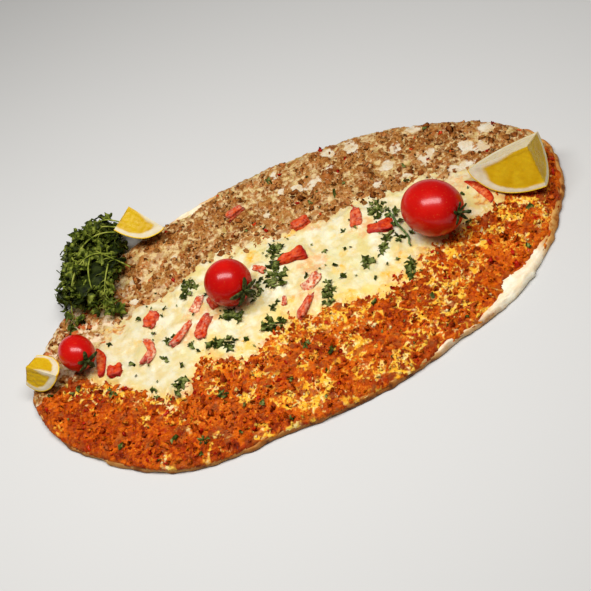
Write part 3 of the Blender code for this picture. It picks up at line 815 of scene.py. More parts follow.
# %% Mince materials, for the slabs and for loose crumbs
def mince(name, shades, under, oil, other=(0.60, 0.13, 0.030), loose=False, dark=0.55):
    """Meat crumbs in shades, with patches of another colour. A slab's crumbs lie over an under colour."""
    material, tree = finish(name, subsurface=0.04, glow=(1.0, 0.35, 0.15), specular=0.08)
    fibres = limits(tree, spots(tree, 420.0, 4.0, 0.7), 0.28, 0.72)
    tint = plus(tree, times(tree, stored(tree, "tint"), 0.6), times(tree, fibres, 0.4), clamp=True)
    colour = ramp(tree, tint, *shades)
    patches = use(tree, "mottling", Scale=170.0, Balance=0.42, Softness=0.07)
    colour = blend(tree, times(tree, patches, stored(tree, "pinkish")), colour, other)
    if not loose:
        shown = times(tree, stored(tree, "crumb"), limits(tree, spots(tree, 300.0), 0.30, 0.46))
        colour = blend(tree, shown, under(tree), colour)
    charred = use(tree, "browning", Scale=380.0, Amount=0.09)
    colour = blend(tree, times(tree, charred, dark), colour, (0.05, 0.012, 0.002))
    return dressed(material, colour, sheen=(450.0, oil, 0.55), grain=(1100.0, 1.3), bump=(0.9, 0.7 * MM))


BROWN_SHADES = (
    (0.0, (0.085, 0.020, 0.002)), (0.20, (0.19, 0.048, 0.006)), (0.38, (0.31, 0.105, 0.018)),
    (0.55, (0.41, 0.165, 0.035)), (0.68, (0.52, 0.26, 0.070)), (0.74, (0.36, 0.060, 0.014)),
    (0.80, (0.51, 0.25, 0.070)), (1.0, (0.78, 0.58, 0.30)),
)
RED_SHADES = (
    (0.0, (0.10, 0.008, 0.0005)), (0.16, (0.22, 0.016, 0.0005)), (0.36, (0.38, 0.045, 0.001)),
    (0.54, (0.54, 0.078, 0.0015)), (0.68, (0.74, 0.17, 0.005)), (0.75, (0.48, 0.010, 0.001)),
    (0.82, (0.80, 0.24, 0.010)), (1.0, (0.94, 0.54, 0.07)),
)


def under_brown(tree):
    fat = use(tree, "mottling", Scale=340.0, Balance=0.5, Softness=0.12)
    tan = blend(tree, fat, (0.37, 0.15, 0.028), (0.74, 0.54, 0.24))
    pale = use(tree, "mottling", Scale=210.0, Balance=0.5, Softness=0.1)
    tan = blend(tree, times(tree, pale, stored(tree, "pinkish")), tan, (0.82, 0.64, 0.42))
    herby = use(tree, "mottling", Scale=150.0, Balance=0.42, Softness=0.08)
    tan = blend(tree, times(tree, herby, 0.5), tan, (0.52, 0.38, 0.10))
    blush = limits(tree, spots(tree, 190.0, 4.0), 0.35, 0.65)
    cream = blend(tree, blush, (0.70, 0.53, 0.31), (0.78, 0.70, 0.54))
    return blend(tree, limits(tree, stored(tree, "bare"), 0.2, 0.8), tan, cream)


def under_red(tree):
    oily = use(tree, "mottling", Scale=260.0, Balance=0.5, Softness=0.12)
    orange = blend(tree, oily, (0.36, 0.026, 0.0008), (0.70, 0.13, 0.003))
    melted = use(tree, "mottling", Scale=380.0, Balance=0.5, Softness=0.12)
    pale = blend(tree, melted, (0.90, 0.42, 0.018), (0.94, 0.60, 0.070))
    palest = use(tree, "mottling", Scale=230.0, Balance=0.42, Softness=0.08)
    pale = blend(tree, palest, pale, (0.94, 0.74, 0.30))
    orange = blend(tree, times(tree, stored(tree, "pinkish"), 0.5), orange, (0.25, 0.055, 0.009))
    shown = limits(tree, stored(tree, "cheesy"), 0.10, 0.75)
    return blend(tree, shown, orange, pale)


brown_mince = mince("browned mince", BROWN_SHADES, under_brown, 0.30)
red_mince = mince("oily red mince", RED_SHADES, under_red, 0.15, other=(0.31, 0.075, 0.014), dark=0.3)
brown_loose = mince("loose brown crumb", BROWN_SHADES, None, 0.35, loose=True)
red_loose = mince("loose red crumb", RED_SHADES, None, 0.18, loose=True, dark=0.3)
hand_over(brown_meat, brown_mince, "brown_meat", "brown_meat_layer")
hand_over(red_meat, red_mince, "red_meat", "red_meat_layer")


# %% Melted cheese
def melted_cheese():
    material, tree = finish(
        "melted cheese", subsurface=0.2, glow=(1.0, 0.75, 0.4), coat=0.15, coat_rough=0.15, specular=0.25,
    )
    clouds = use(tree, "mottling", Scale=130.0, Balance=0.5, Softness=0.16)
    colour = blend(tree, clouds, (0.75, 0.59, 0.25), (0.82, 0.77, 0.55))
    greenish = use(tree, "mottling", Scale=75.0, Balance=0.45, Softness=0.1)
    colour = blend(tree, times(tree, greenish, 0.5), colour, (0.70, 0.62, 0.22))
    gold = times(tree, stored(tree, "golden"), limits(tree, spots(tree, 240.0, 4.0), 0.22, 0.72))
    freckles = use(tree, "browning", Scale=230.0, Amount=0.13)
    gold = plus(tree, gold, times(tree, freckles, 0.5), clamp=True)
    colour = blend(tree, times(tree, gold, 0.8), colour, (0.83, 0.52, 0.070))
    heart = times(tree, stored(tree, "golden"), limits(tree, spots(tree, 300.0), 0.50, 0.68))
    colour = blend(tree, heart, colour, (0.84, 0.42, 0.025))
    yellowed = times(tree, stored(tree, "oily"), limits(tree, spots(tree, 140.0, 4.0), 0.30, 0.62))
    colour = blend(tree, times(tree, yellowed, 0.65), colour, (0.90, 0.62, 0.12))
    patchy = limits(tree, spots(tree, 330.0, 4.0), 0.36, 0.62)
    edge = times(tree, stored(tree, "thin"), limits(tree, patchy, 0.0, 1.0, 0.3, 0.95))
    grain = limits(tree, spots(tree, 210.0), 0.40, 0.60)
    brown_border = blend(tree, grain, (0.58, 0.31, 0.070), (0.82, 0.60, 0.22))
    red_border = blend(tree, grain, (0.78, 0.27, 0.012), (0.90, 0.58, 0.060))
    border = blend(tree, stored(tree, "front"), brown_border, red_border)
    colour = blend(tree, edge, colour, border)
    stain = times(tree, stored(tree, "stained"), limits(tree, patchy, 0.0, 1.0, 0.1, 0.6))
    colour = blend(tree, stain, colour, (0.80, 0.36, 0.12))
    # Painted shade towards both ends of the cheese, where the light falls off.
    colour = blend(tree, times(tree, stored(tree, "tan"), 0.6), colour, (0.56, 0.45, 0.26))
    crust = times(tree, stored(tree, "browned"), limits(tree, patchy, 0.0, 1.0, 0.25, 1.0))
    uneven_crust = limits(tree, spots(tree, 420.0), 0.38, 0.62)
    toasted = blend(tree, uneven_crust, (0.52, 0.13, 0.008), (0.80, 0.42, 0.07))
    colour = blend(tree, times(tree, crust, 0.9), colour, toasted)
    return dressed(material, colour, sheen=(180.0, 0.22, 0.5), grain=(380.0, 1.4), bump=(0.7, 0.8 * MM))


cheese_finish = melted_cheese()
hand_over(cheese, cheese_finish, "cheese", "cheese_layer")


# %% [markdown]
# ## Loose crumbs, by Geometry Nodes
# The larger crumbs stand clear of the relief and throw small shadows. Placing thousands by hand is no fun,
# so a node tree does it: it scatters points on the mince, puts one of a few lumpy shapes on each, turns and
# sizes it at random, and gives it a tint. Realize Instances then makes real faces of them all.

# %% A few lumpy shapes
SHAPES = 5


def join(tree, *sockets, kind="GeometryNodeJoinGeometry"):
    made = put(tree, kind)
    for socket in sockets:
        tree.links.new(socket, made.inputs[0])
    return made.outputs[0]


def times_plus(tree, place, by, more):
    """A vector times another, plus a third."""
    given = {0: place, 1: by, 2: more}
    return put(tree, "ShaderNodeVectorMath", given, operation="MULTIPLY_ADD").outputs[0]


def shake(tree, place, seed, scale, spread, shift):
    """Smooth random vectors: a colour noise times spread, plus shift."""
    given = {"Vector": place, "W": seed, "Scale": scale}
    soft = put(tree, "ShaderNodeTexNoise", given, noise_dimensions="4D")
    return times_plus(tree, soft.outputs["Color"], spread, shift)


def crumb_shapes(tree):
    """Small uneven lumps, each a cube blown up to a ball and dented by noise."""
    shapes = []
    for number in range(SHAPES):
        cube = put(tree, "GeometryNodeMeshCube", {"Vertices X": 3, "Vertices Y": 3, "Vertices Z": 3})
        place = put(tree, "GeometryNodeInputPosition").outputs[0]
        ball = put(tree, "ShaderNodeVectorMath", {0: place}, operation="NORMALIZE").outputs[0]
        dents = shake(tree, ball, 3.7 * number, 1.9, (2.6, 2.6, 2.6), (-1.3, -1.3, -1.3))
        given = {"Geometry": cube.outputs["Mesh"], "Position": times_plus(tree, ball, (0.5, 0.5, 0.5), dents)}
        shapes.append(put(tree, "GeometryNodeSetPosition", given).outputs[0])
    return join(tree, *shapes, kind="GeometryNodeGeometryToInstance")


print("crumb shapes:", SHAPES)


# %% The scattering tree
TREE_SIZES = ("Spacing", "Density", "Smallest", "Largest", "Length", "Lift")
LEAN_ON_SURFACE = 0.7
FLATNESS = 0.8
MOSTLY_SMALL = 2.4


def random_value(tree, low, high, seed, kind="FLOAT"):
    """A random number or vector for each point. The node's sockets are in order of kind."""
    inlet, outlet = (0, 0) if kind == "FLOAT_VECTOR" else (2, 1)
    given = {inlet: low, inlet + 1: high, "Seed": seed}
    return put(tree, "FunctionNodeRandomValue", given, data_type=kind).outputs[outlet]


def new_scatter_tree(name):
    """An empty geometry tree with the sockets that scattering needs."""
    tree = bpy.data.node_groups.new(name, "GeometryNodeTree")
    kinds = dict.fromkeys(("Geometry", *TREE_SIZES), "Float")
    kinds.update(Geometry="Geometry", Seed="Int", Material="Material")
    for key, kind in kinds.items():
        tree.interface.new_socket(key, in_out="INPUT", socket_type="NodeSocket" + kind)
    tree.interface.new_socket("Geometry", in_out="OUTPUT", socket_type="NodeSocketGeometry")
    return tree, put(tree, "NodeGroupInput").outputs, put(tree, "NodeGroupOutput").inputs[0]


def scatter_tree(name, shapes, tumble=True):
    """Scatters shapes over a mesh where its value called chance allows."""
    tree, given, out = new_scatter_tree(name)
    chance = put(tree, "GeometryNodeInputNamedAttribute", {"Name": "chance"}, data_type="FLOAT")
    points = put(tree, "GeometryNodeDistributePointsOnFaces", {
        "Mesh": given["Geometry"], "Distance Min": given["Spacing"], "Density Max": given["Density"],
        "Density Factor": chance.outputs[0], "Seed": given["Seed"],
    }, distribute_method="POISSON").outputs
    away = put(tree, "ShaderNodeVectorMath", {0: points["Normal"], "Scale": given["Lift"]}, operation="SCALE")
    lifted = put(tree, "GeometryNodeSetPosition", {"Geometry": points["Points"], "Offset": away.outputs[0]})
    lean = math.tau if tumble else LEAN_ON_SURFACE
    turn = random_value(tree, (-lean, -lean, 0.0), (lean, lean, math.tau), given["Seed"], "FLOAT_VECTOR")
    if not tumble:
        spin = put(tree, "FunctionNodeEulerToRotation", {0: turn}).outputs[0]
        both = {"Rotation": points["Rotation"], "Rotate By": spin}
        turn = put(tree, "FunctionNodeRotateRotation", both, rotation_space="LOCAL").outputs[0]
    share = maths(tree, "POWER", random_value(tree, 0.0, 1.0, 5), MOSTLY_SMALL)
    span = minus(tree, given["Largest"], given["Smallest"])
    size = plus(tree, given["Smallest"], times(tree, share, span))
    sizes = put(tree, "ShaderNodeCombineXYZ", {
        0: times(tree, size, given["Length"]), 1: size, 2: times(tree, size, FLATNESS),
    })
    placed = put(tree, "GeometryNodeInstanceOnPoints", {
        "Points": lifted.outputs[0], "Instance": shapes(tree), "Pick Instance": True, "Rotation": turn,
        "Scale": sizes.outputs[0],
    })
    tinted = put(tree, "GeometryNodeStoreNamedAttribute", {
        "Geometry": placed.outputs[0], "Name": "tint", "Value": random_value(tree, 0.0, 1.0, 9),
    }, data_type="FLOAT", domain="INSTANCE")
    real = put(tree, "GeometryNodeRealizeInstances", {"Geometry": tinted.outputs[0]})
    finished = put(tree, "GeometryNodeSetMaterial", {
        "Geometry": real.outputs[0], "Material": given["Material"],
    })
    feed(tree, out, finished.outputs[0])
    return tree


CRUMBS = scatter_tree("Scatter crumbs", crumb_shapes)
print(CRUMBS.name, "has", len(CRUMBS.nodes), "nodes")


# %% Run a tree over a host, and keep the result as a plain mesh
LOWEST = 0.2 * MM


def scatter(name, tree, host, material, slot, chance="chance", **values):
    """Hands over what a tree scatters on a host. Chance names the host's value that says where."""
    carrier = linked(name + "_carrier", host.data.copy())
    store(carrier.data, "chance", read(carrier.data, chance))
    modifier = carrier.modifiers.new(name, "NODES")
    modifier.node_group = tree
    values["Material"] = material
    for item in tree.interface.items_tree:
        if item.in_out == "INPUT" and item.name in values:
            modifier[item.identifier] = values[item.name]
    mesh = evaluated_mesh(carrier)
    mesh.name = name
    mesh.shade_smooth()
    for point in mesh.vertices:
        point.co.z = max(point.co.z, LOWEST)
    bpy.data.objects.remove(carrier)
    return hand_over(linked(name, mesh), None, slot)


DENSE = 1.0e6
scatter("brown_crumbs", CRUMBS, brown_meat, brown_loose, "brown_meat",
        Spacing=3.0 * MM, Density=0.3 * DENSE, Smallest=1.2 * MM, Largest=4.4 * MM, Length=1.2,
        Lift=-0.1 * MM, Seed=3)
scatter("red_crumbs", CRUMBS, red_meat, red_loose, "red_meat",
        Spacing=2.8 * MM, Density=0.3 * DENSE, Smallest=1.1 * MM, Largest=3.8 * MM, Length=1.3,
        Lift=-0.15 * MM, Seed=4)


# %% Bits of red pepper between the crumbs
def pepper_red():
    material, tree = finish("red pepper", subsurface=0.05, glow=(1.0, 0.2, 0.1), specular=0.15)
    colour = ramp(
        tree, stored(tree, "tint"), (0.0, (0.28, 0.006, 0.001)), (0.6, (0.48, 0.014, 0.002)),
        (1.0, (0.70, 0.080, 0.008)),
    )
    return dressed(material, colour, sheen=(400.0, 0.12, 0.4), grain=(1200.0, 0.8), bump=(0.3, 0.3 * MM))


pepper = pepper_red()
for host, count, seed in ((red_meat, 0.012, 31), (brown_meat, 0.004, 32)):
    scatter(host.name + "_pepper", CRUMBS, host, pepper, host.name,
            Spacing=2.4 * MM, Density=count * DENSE, Smallest=0.9 * MM, Largest=3.0 * MM, Length=1.8,
            Lift=-0.15 * MM, Seed=seed)


# %% [markdown]
# ## Shreds of cheese and flecks of parsley
# The same tree scatters anything small. Long pale lumps among the red crumbs are shreds of cheese that
# melted one by one. The flecks are chopped parsley: a leaf cut to bits of two or three millimetres, each a
# little bent. They lie flat on the food, so this copy of the tree follows the surface.

# %% Cheese shreds
in_the_net = np.clip(read(red_meat.data, "cheesy") * 1.3 - 0.25, 0.0, 1.0)
store(red_meat.data, "shreds", in_the_net * (read(red_meat.data, "chance") > 0.01))


def shred_material():
    material, tree = finish("cheese shreds", subsurface=0.2, glow=(1.0, 0.7, 0.3), specular=0.35)
    colour = ramp(
        tree, stored(tree, "tint"), (0.0, (0.80, 0.30, 0.015)), (0.45, (0.88, 0.48, 0.04)),
        (0.8, (0.91, 0.64, 0.16)), (1.0, (0.92, 0.74, 0.38)),
    )
    oily = use(tree, "mottling", Scale=500.0, Balance=0.45, Softness=0.1)
    colour = blend(tree, times(tree, oily, 0.35), colour, (0.72, 0.24, 0.02))
    return dressed(material, colour, sheen=(300.0, 0.2, 0.45), grain=(1200.0, 1.0), bump=(0.3, 0.3 * MM))


scatter("cheese_shreds", CRUMBS, red_meat, shred_material(), "cheese", chance="shreds",
        Spacing=2.1 * MM, Density=0.4 * DENSE, Smallest=0.8 * MM, Largest=2.2 * MM, Length=1.8,
        Lift=-0.05 * MM, Seed=6)


# %% Parsley flecks
def fleck_shapes(tree):
    """Bits of leaf: small grids, bent and pulled out of square."""
    shapes = []
    for number in range(4):
        sheet = put(tree, "GeometryNodeMeshGrid", {"Vertices X": 4, "Vertices Y": 3}).outputs["Mesh"]
        place = put(tree, "GeometryNodeInputPosition").outputs[0]
        bend = shake(tree, place, 5.3 * number, 2.8, (2.6, 2.6, 1.0), (-1.3, -1.3, -0.4))
        bent = put(tree, "GeometryNodeSetPosition", {"Geometry": sheet, "Offset": bend}).outputs[0]
        given = {"Mesh": bent, "Offset Scale": 0.12, "Individual": False}
        thick = put(tree, "GeometryNodeExtrudeMesh", given)
        under = put(tree, "GeometryNodeFlipFaces", {0: bent})
        shapes.append(join(tree, thick.outputs["Mesh"], under.outputs[0]))
    return join(tree, *shapes, kind="GeometryNodeGeometryToInstance")


def leaf_green(name, dark, mid, bright, wet):
    """Parsley green, in soft patches from dark to bright."""
    material, tree = finish(name, subsurface=0.05, glow=(0.4, 1.0, 0.15), specular=0.09)
    patches = limits(tree, spots(tree, 260.0, 3.0), 0.3, 0.7)
    colour = ramp(tree, patches, (0.0, dark), (0.5, mid), (1.0, bright))
    return dressed(material, colour, sheen=(350.0, wet, 0.6), grain=(900.0, 1.2), bump=(0.4, 0.3 * MM))


# The bright end of this green is partly the leaves' own lighter green and partly painted highlight, the sheen
# of light on them.
chopped_green = leaf_green(
    "chopped parsley", (0.008, 0.013, 0.001), (0.045, 0.060, 0.004), (0.24, 0.27, 0.07), 0.3,
)
FLECKS = scatter_tree("Scatter flecks", fleck_shapes, tumble=False)
for host, count, seed in ((red_meat, 0.0030, 11), (cheese, 0.0042, 12), (brown_meat, 0.0016, 13)):
    scatter(host.name + "_flecks", FLECKS, host, chopped_green, "parsley_leaf",
            Spacing=3.0 * MM, Density=count * DENSE, Smallest=0.9 * MM, Largest=3.4 * MM, Length=1.3,
            Lift=0.8 * MM, Seed=seed)


# %% [markdown]
# ## Cherry tomatoes
# A tomato is nearly a ball, with a dimple where the stalk grows and a tight, shiny skin. It is turned as
# rings round its own axis. The axis runs from the middle of the fruit to the middle of its calyx, the green
# star, so both pieces agree about where the stalk is.

# %% Find a tomato's axis and size
PLACES = ("right", "middle", "left")


def facing(way):
    """A turn that brings +Z round to a direction."""
    return Vector(way).to_track_quat("Z", "Y").to_matrix()


def tomato_frame(place):
    """Middle, axis, half length and radius of a tomato solid."""
    low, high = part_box("cherry_tomato_" + place)
    middle = np.array((low + high) / 2)
    star = solid_points("tomato_calyx_" + place).mean(0) - middle
    axis = star / np.linalg.norm(star)
    spokes = solid_points("cherry_tomato_" + place) - middle
    along = spokes @ axis
    across = np.linalg.norm(spokes - np.outer(along, axis), axis=1)
    return middle, axis, float(np.abs(along).max()), float(across.max())


def tomato_skin_point(lean, turn, half, across, dimple=1.0):
    """A point of the skin: lean runs from the stalk end round to the far end."""
    ribs = 1.0 + 0.012 * math.cos(5 * turn) * math.exp(-(lean / 0.9) ** 2)
    sunk = dimple * 1.3 * MM * math.exp(-(lean / 0.23) ** 2)
    out = across * math.sin(lean) * ribs
    return Vector((out * math.cos(turn), out * math.sin(turn), half * math.cos(lean) - sunk))


def in_place(points, middle, axis):
    turn = facing(axis)
    return [turn @ Vector(point) + Vector(middle) for point in points]


for place in PLACES:
    print(place, "tomato radius", round(tomato_frame(place)[3] / MM, 1), "mm")


# %% Tomato skin
def tomato_skin():
    material, tree = finish(
        "tomato skin", subsurface=0.08, glow=(1.0, 0.12, 0.05), coat=0.6, coat_rough=0.2, specular=0.05,
    )
    tone = limits(tree, spots(tree, 60.0, 2.0), 0.3, 0.7)
    colour = blend(tree, tone, (0.46, 0.001, 0.0002), (0.58, 0.004, 0.0005))
    specks = limits(tree, spots(tree, 1300.0, 1.0), 0.66, 0.74)
    colour = blend(tree, times(tree, specks, 0.25), colour, (0.80, 0.22, 0.05))
    return dressed(material, colour, sheen=(60.0, 0.30, 0.42), grain=(260.0, 1.0), bump=(0.05, 0.4 * MM))


# %% Turn the tomatoes
LEANS, TURNS = 44, 56
skin = tomato_skin()
for place in PLACES:
    middle, axis, half, across = tomato_frame(place)
    points = [tomato_skin_point(0.0, 0.0, half, across)]
    for i in range(1, LEANS):
        lean = math.pi * i / LEANS
        points += [tomato_skin_point(lean, math.tau * j / TURNS, half, across) for j in range(TURNS)]
    points.append(tomato_skin_point(math.pi, 0.0, half, across))
    faces = [tuple(1 + k for k in face) for face in ring_faces(LEANS - 1, TURNS)]
    tail = 1 + (LEANS - 2) * TURNS
    faces += [(0, 1 + j, 1 + (j + 1) % TURNS) for j in range(TURNS)]
    faces += [(len(points) - 1, tail + (j + 1) % TURNS, tail + j) for j in range(TURNS)]
    tomato = make_mesh("cherry_tomato_skin_" + place, in_place(points, middle, axis), faces)
    tidy_normals(tomato)
    hand_over(tomato, skin, "tomato_skin", "cherry_tomato_" + place)


# %% [markdown]
# ## The calyx
# The calyx is a star of five narrow sepals and a short bent stalk. Each sepal is a strip that follows the
# skin and lifts off at its tip. The strips get their thickness from a Solidify modifier, and the stalk is a
# tube along a few points.

# %% Tubes along points
def tube(path, radii, sides=8):
    """Points and faces of a closed tube with one radius for each path point."""
    path = [Vector(point) for point in path]
    points, side = [], None
    for i, here in enumerate(path):
        ahead = (path[min(i + 1, len(path) - 1)] - path[max(i - 1, 0)]).normalized()
        if side is None:
            side = ahead.orthogonal().normalized()
        side = (side - ahead * side.dot(ahead)).normalized()
        other = ahead.cross(side)
        for k in range(sides):
            angle = math.tau * k / sides
            points.append(here + radii[i] * (side * math.cos(angle) + other * math.sin(angle)))
    faces = ring_faces(len(path), sides)
    faces.append(tuple(reversed(range(sides))))
    faces.append(tuple(range((len(path) - 1) * sides, len(path) * sides)))
    return points, faces


def gather(parts):
    """Several (points, faces) lists as one."""
    points, faces = [], []
    for more_points, more_faces in parts:
        start = len(points)
        points += list(more_points)
        faces += [tuple(start + k for k in face) for face in more_faces]
    return points, faces


def thicken(made, depth):
    """Gives open strips a thickness, and keeps the result."""
    solid = made.modifiers.new("Thickness", "SOLIDIFY")
    solid.thickness = depth
    solid.offset = 1.0
    solid.use_even_offset = False
    mesh = evaluated_mesh(made)
    made.modifiers.clear()
    made.data = mesh
    return made


print("tube helper ready")


# %% Sepals and stalks
SEPALS = 5
SEPAL_LOOKS = {
    # length, width and lift of the tip of a sepal, then length, radius and sideways bend of the stalk
    "right": (5.6, 3.2, 2.2, 7.5, 0.95, 3.0),
    "middle": (9.0, 6.4, 1.8, 5.0, 0.9, 2.5),
    "left": (6.2, 4.8, 1.4, 3.0, 0.9, 1.0),
}


def sepal(number, place, half, across):
    """One strip of the star, from the stalk outwards."""
    rng = np.random.default_rng(SEED + 10 * number + PLACES.index(place))
    length, width, lift = (size * MM for size in SEPAL_LOOKS[place][:3])
    length *= rng.uniform(0.75, 1.1)
    turn = math.tau * (number + rng.uniform(-0.15, 0.15)) / SEPALS
    swing = rng.uniform(-0.35, 0.35)
    rows, columns = 9, 4
    points = []
    for i in range(rows + 1):
        share = i / rows
        lean = (0.5 * MM + share * length) / across
        wide = width * (1.0 - share) ** 0.7 * (0.45 + 0.9 * share) + 0.15 * MM
        for j in range(columns + 1):
            side = (j / columns - 0.5) * wide / (across * math.sin(lean) + 0.8 * MM)
            on_skin = tomato_skin_point(lean, turn + swing * share + side, half, across)
            outward = on_skin.normalized()
            fold = 0.5 * MM * (1 - (2 * j / columns - 1) ** 2)
            ripple = 0.3 * MM * math.sin(9 * share + number)
            points.append(on_skin + outward * (0.35 * MM + lift * share ** 2.2 + fold + ripple * share))
    faces = []
    for i in range(rows):
        for j in range(columns):
            a = i * (columns + 1) + j
            faces.append((a, a + columns + 1, a + columns + 2, a + 1))
    return points, faces


def calyx_green():
    material, tree = finish("calyx green", subsurface=0.03, glow=(0.4, 1.0, 0.2), specular=0.1)
    streaks = limits(tree, spots(tree, 420.0, 3.0), 0.3, 0.7)
    colour = ramp(
        tree, streaks,
        (0.0, (0.010, 0.014, 0.003)), (0.5, (0.026, 0.040, 0.007)), (1.0, (0.10, 0.115, 0.030)),
    )
    dry = use(tree, "browning", Scale=300.0, Amount=0.12)
    colour = blend(tree, times(tree, dry, 0.6), colour, (0.10, 0.045, 0.015))
    return dressed(material, colour, sheen=(300.0, 0.45, 0.7), grain=(1200.0, 0.8), bump=(0.5, 0.25 * MM))


star_green = calyx_green()
for place in PLACES:
    middle, axis, half, across = tomato_frame(place)
    strips = gather([sepal(number, place, half, across) for number in range(SEPALS)])
    star = make_mesh("calyx_" + place, in_place(strips[0], middle, axis), strips[1])
    thicken(star, 0.45 * MM)
    stem, radius, bend = (size * MM for size in SEPAL_LOOKS[place][3:])
    foot = half - 1.0 * MM
    path = [(bend * (k / 6) ** 2, 0.4 * bend * math.sin(3 * k / 6), foot + stem * k / 6) for k in range(7)]
    widths = [radius * (1.5, 1.1, 0.9, 0.85, 0.9, 1.25, 1.0)[k] for k in range(7)]
    stalk_points, stalk_faces = tube(path, widths, 10)
    take_in(star, make_mesh("stem", in_place(stalk_points, middle, axis), stalk_faces))
    hand_over(star, star_green, "tomato_calyx", "tomato_calyx_" + place)


# %% [markdown]
# ## Lemon wedges
# Each wedge is an eighth of a lemon: two long cuts that meet in a ridge, a cut across the middle, and the
# rind. On a cut face the rind is a thin yellow line, then comes a white band of pith, then flesh, whose
# little juice sacs point at the ridge. Each point stores its distance from the rind and from the ridge, and
# the material paints rind, pith and flesh from those two numbers.

# %% A wedge's own frame
LEMON_WAYS = {
    # the way along the ridge to the tip, and the way along one cut side
    "right": ((-0.772, 0.486, -0.409), (0.634, 0.631, -0.448)),
    "back": ((0.521, -0.657, -0.545), (-0.848, -0.467, -0.249)),
    "left": ((0.70, -0.68, -0.22), (-0.375, -0.221, -0.901)),
}


def wedge_frame(place):
    """Corner, turn, radius and length of a wedge, from its solid and its two ways."""
    ridge, side = (Vector(way) for way in LEMON_WAYS[place])
    ridge.normalize()
    side = (side - ridge * side.dot(ridge)).normalized()
    turn = np.array((side, ridge.cross(side), ridge))
    local = solid_points("lemon_wedge_" + place) @ turn.T
    corner = local.min(0)
    radius, length = float((local - corner)[:, 0].max()), float((local - corner)[:, 2].max())
    return corner, turn, radius, length


for place in LEMON_WAYS:
    print(place, "lemon wedge", round(wedge_frame(place)[3] / MM, 1), "mm long")


# %% Rind, cuts and their stored distances
FINE = 36


def rind_point(lean, turn, radius, length, blunt=0.0):
    nub = 1.0 + 0.06 * math.exp(-(lean / 0.25) ** 2)
    out = radius * math.sin(lean) ** 0.8 * (1.0 - blunt * (lean / (math.pi / 2)) ** 5)
    return np.array((out * math.cos(turn), out * math.sin(turn), length * nub * math.cos(lean)))


def cut_patch(edge_points, length, sunk_way):
    """A flat cut from the corner to a line on the rind, with slightly hollow flesh.

    Each row holds a point, then its distances from the rind, the ridge and the tip.
    """
    rows = []
    for i in range(FINE + 1):
        share = i / FINE
        for edge in edge_points:
            place = edge * share
            from_rind = (1.0 - share) * float(np.linalg.norm(edge))
            from_ridge = float(np.hypot(place[0], place[1]))
            flesh = min(max((from_rind - 2.2 * MM) / (1.5 * MM), 0.0), 1.0)
            flesh *= min(max((from_ridge - 1.5 * MM) / (1.5 * MM), 0.0), 1.0)
            sacs = noise.noise(Vector(place) / (1.8 * MM))
            hollow = place + np.array(sunk_way) * flesh * (0.35 + 0.25 * sacs) * MM
            rows.append((*hollow, from_rind, from_ridge, length - place[2]))
    return rows


def grid_faces(rows, columns, start=0):
    return [
        (start + i * columns + j, start + i * columns + j + 1,
         start + (i + 1) * columns + j + 1, start + (i + 1) * columns + j)
        for i in range(rows - 1) for j in range(columns - 1)
    ]


# %% A whole wedge
# One wedge shows membrane on its upper side, and one narrows again at its cut end.
PALE_SIDE = ("right",)
BLUNT = {"left": 0.25}
FAR = 20 * MM


def lemon_wedge(place):
    corner, turn, radius, length = wedge_frame(place)
    quarter = np.linspace(0.0, math.pi / 2, FINE + 1)

    def edge(lean, around):
        return rind_point(lean, around, radius, length, BLUNT.get(place, 0.0))

    cuts = (
        ([edge(lean, 0.0) for lean in quarter], (0, 1, 0)),
        ([edge(lean, math.pi / 2) for lean in quarter], (1, 0, 0)),
        ([edge(math.pi / 2, around) for around in quarter], (0, 0, 1)),
    )
    rows = [(*edge(lean, around), 0.0, FAR, FAR) for lean in quarter for around in quarter]
    faces = grid_faces(FINE + 1, FINE + 1)
    for line, sunk_way in cuts:
        faces += grid_faces(FINE + 1, FINE + 1, len(rows))
        rows += cut_patch(line, length, sunk_way)
    rows = np.array(rows)
    from_rind, from_ridge, from_tip = rows[:, 3], rows[:, 4], rows[:, 5] / length
    pale_tip = np.clip(1.0 - from_tip / 0.25, 0.0, 1.0)
    if place in PALE_SIDE:
        pale_tip[(FINE + 1) ** 2:2 * (FINE + 1) ** 2] = 0.33
    made = make_mesh(
        "lemon_wedge_cut_" + place, (rows[:, :3] + corner) @ turn, faces, from_rind=from_rind,
        from_ridge=from_ridge + 1.0 * MM + 3.0 * MM * step(from_tip, 0.40, 0.90), pale_tip=pale_tip,
        thick_pith=2.5 * MM * np.clip(1.0 - from_tip / 0.6, 0.0, 1.0),
    )
    tidy_normals(made, 0.02 * MM)
    made.data.set_sharp_from_angle(angle=math.radians(50))
    return made


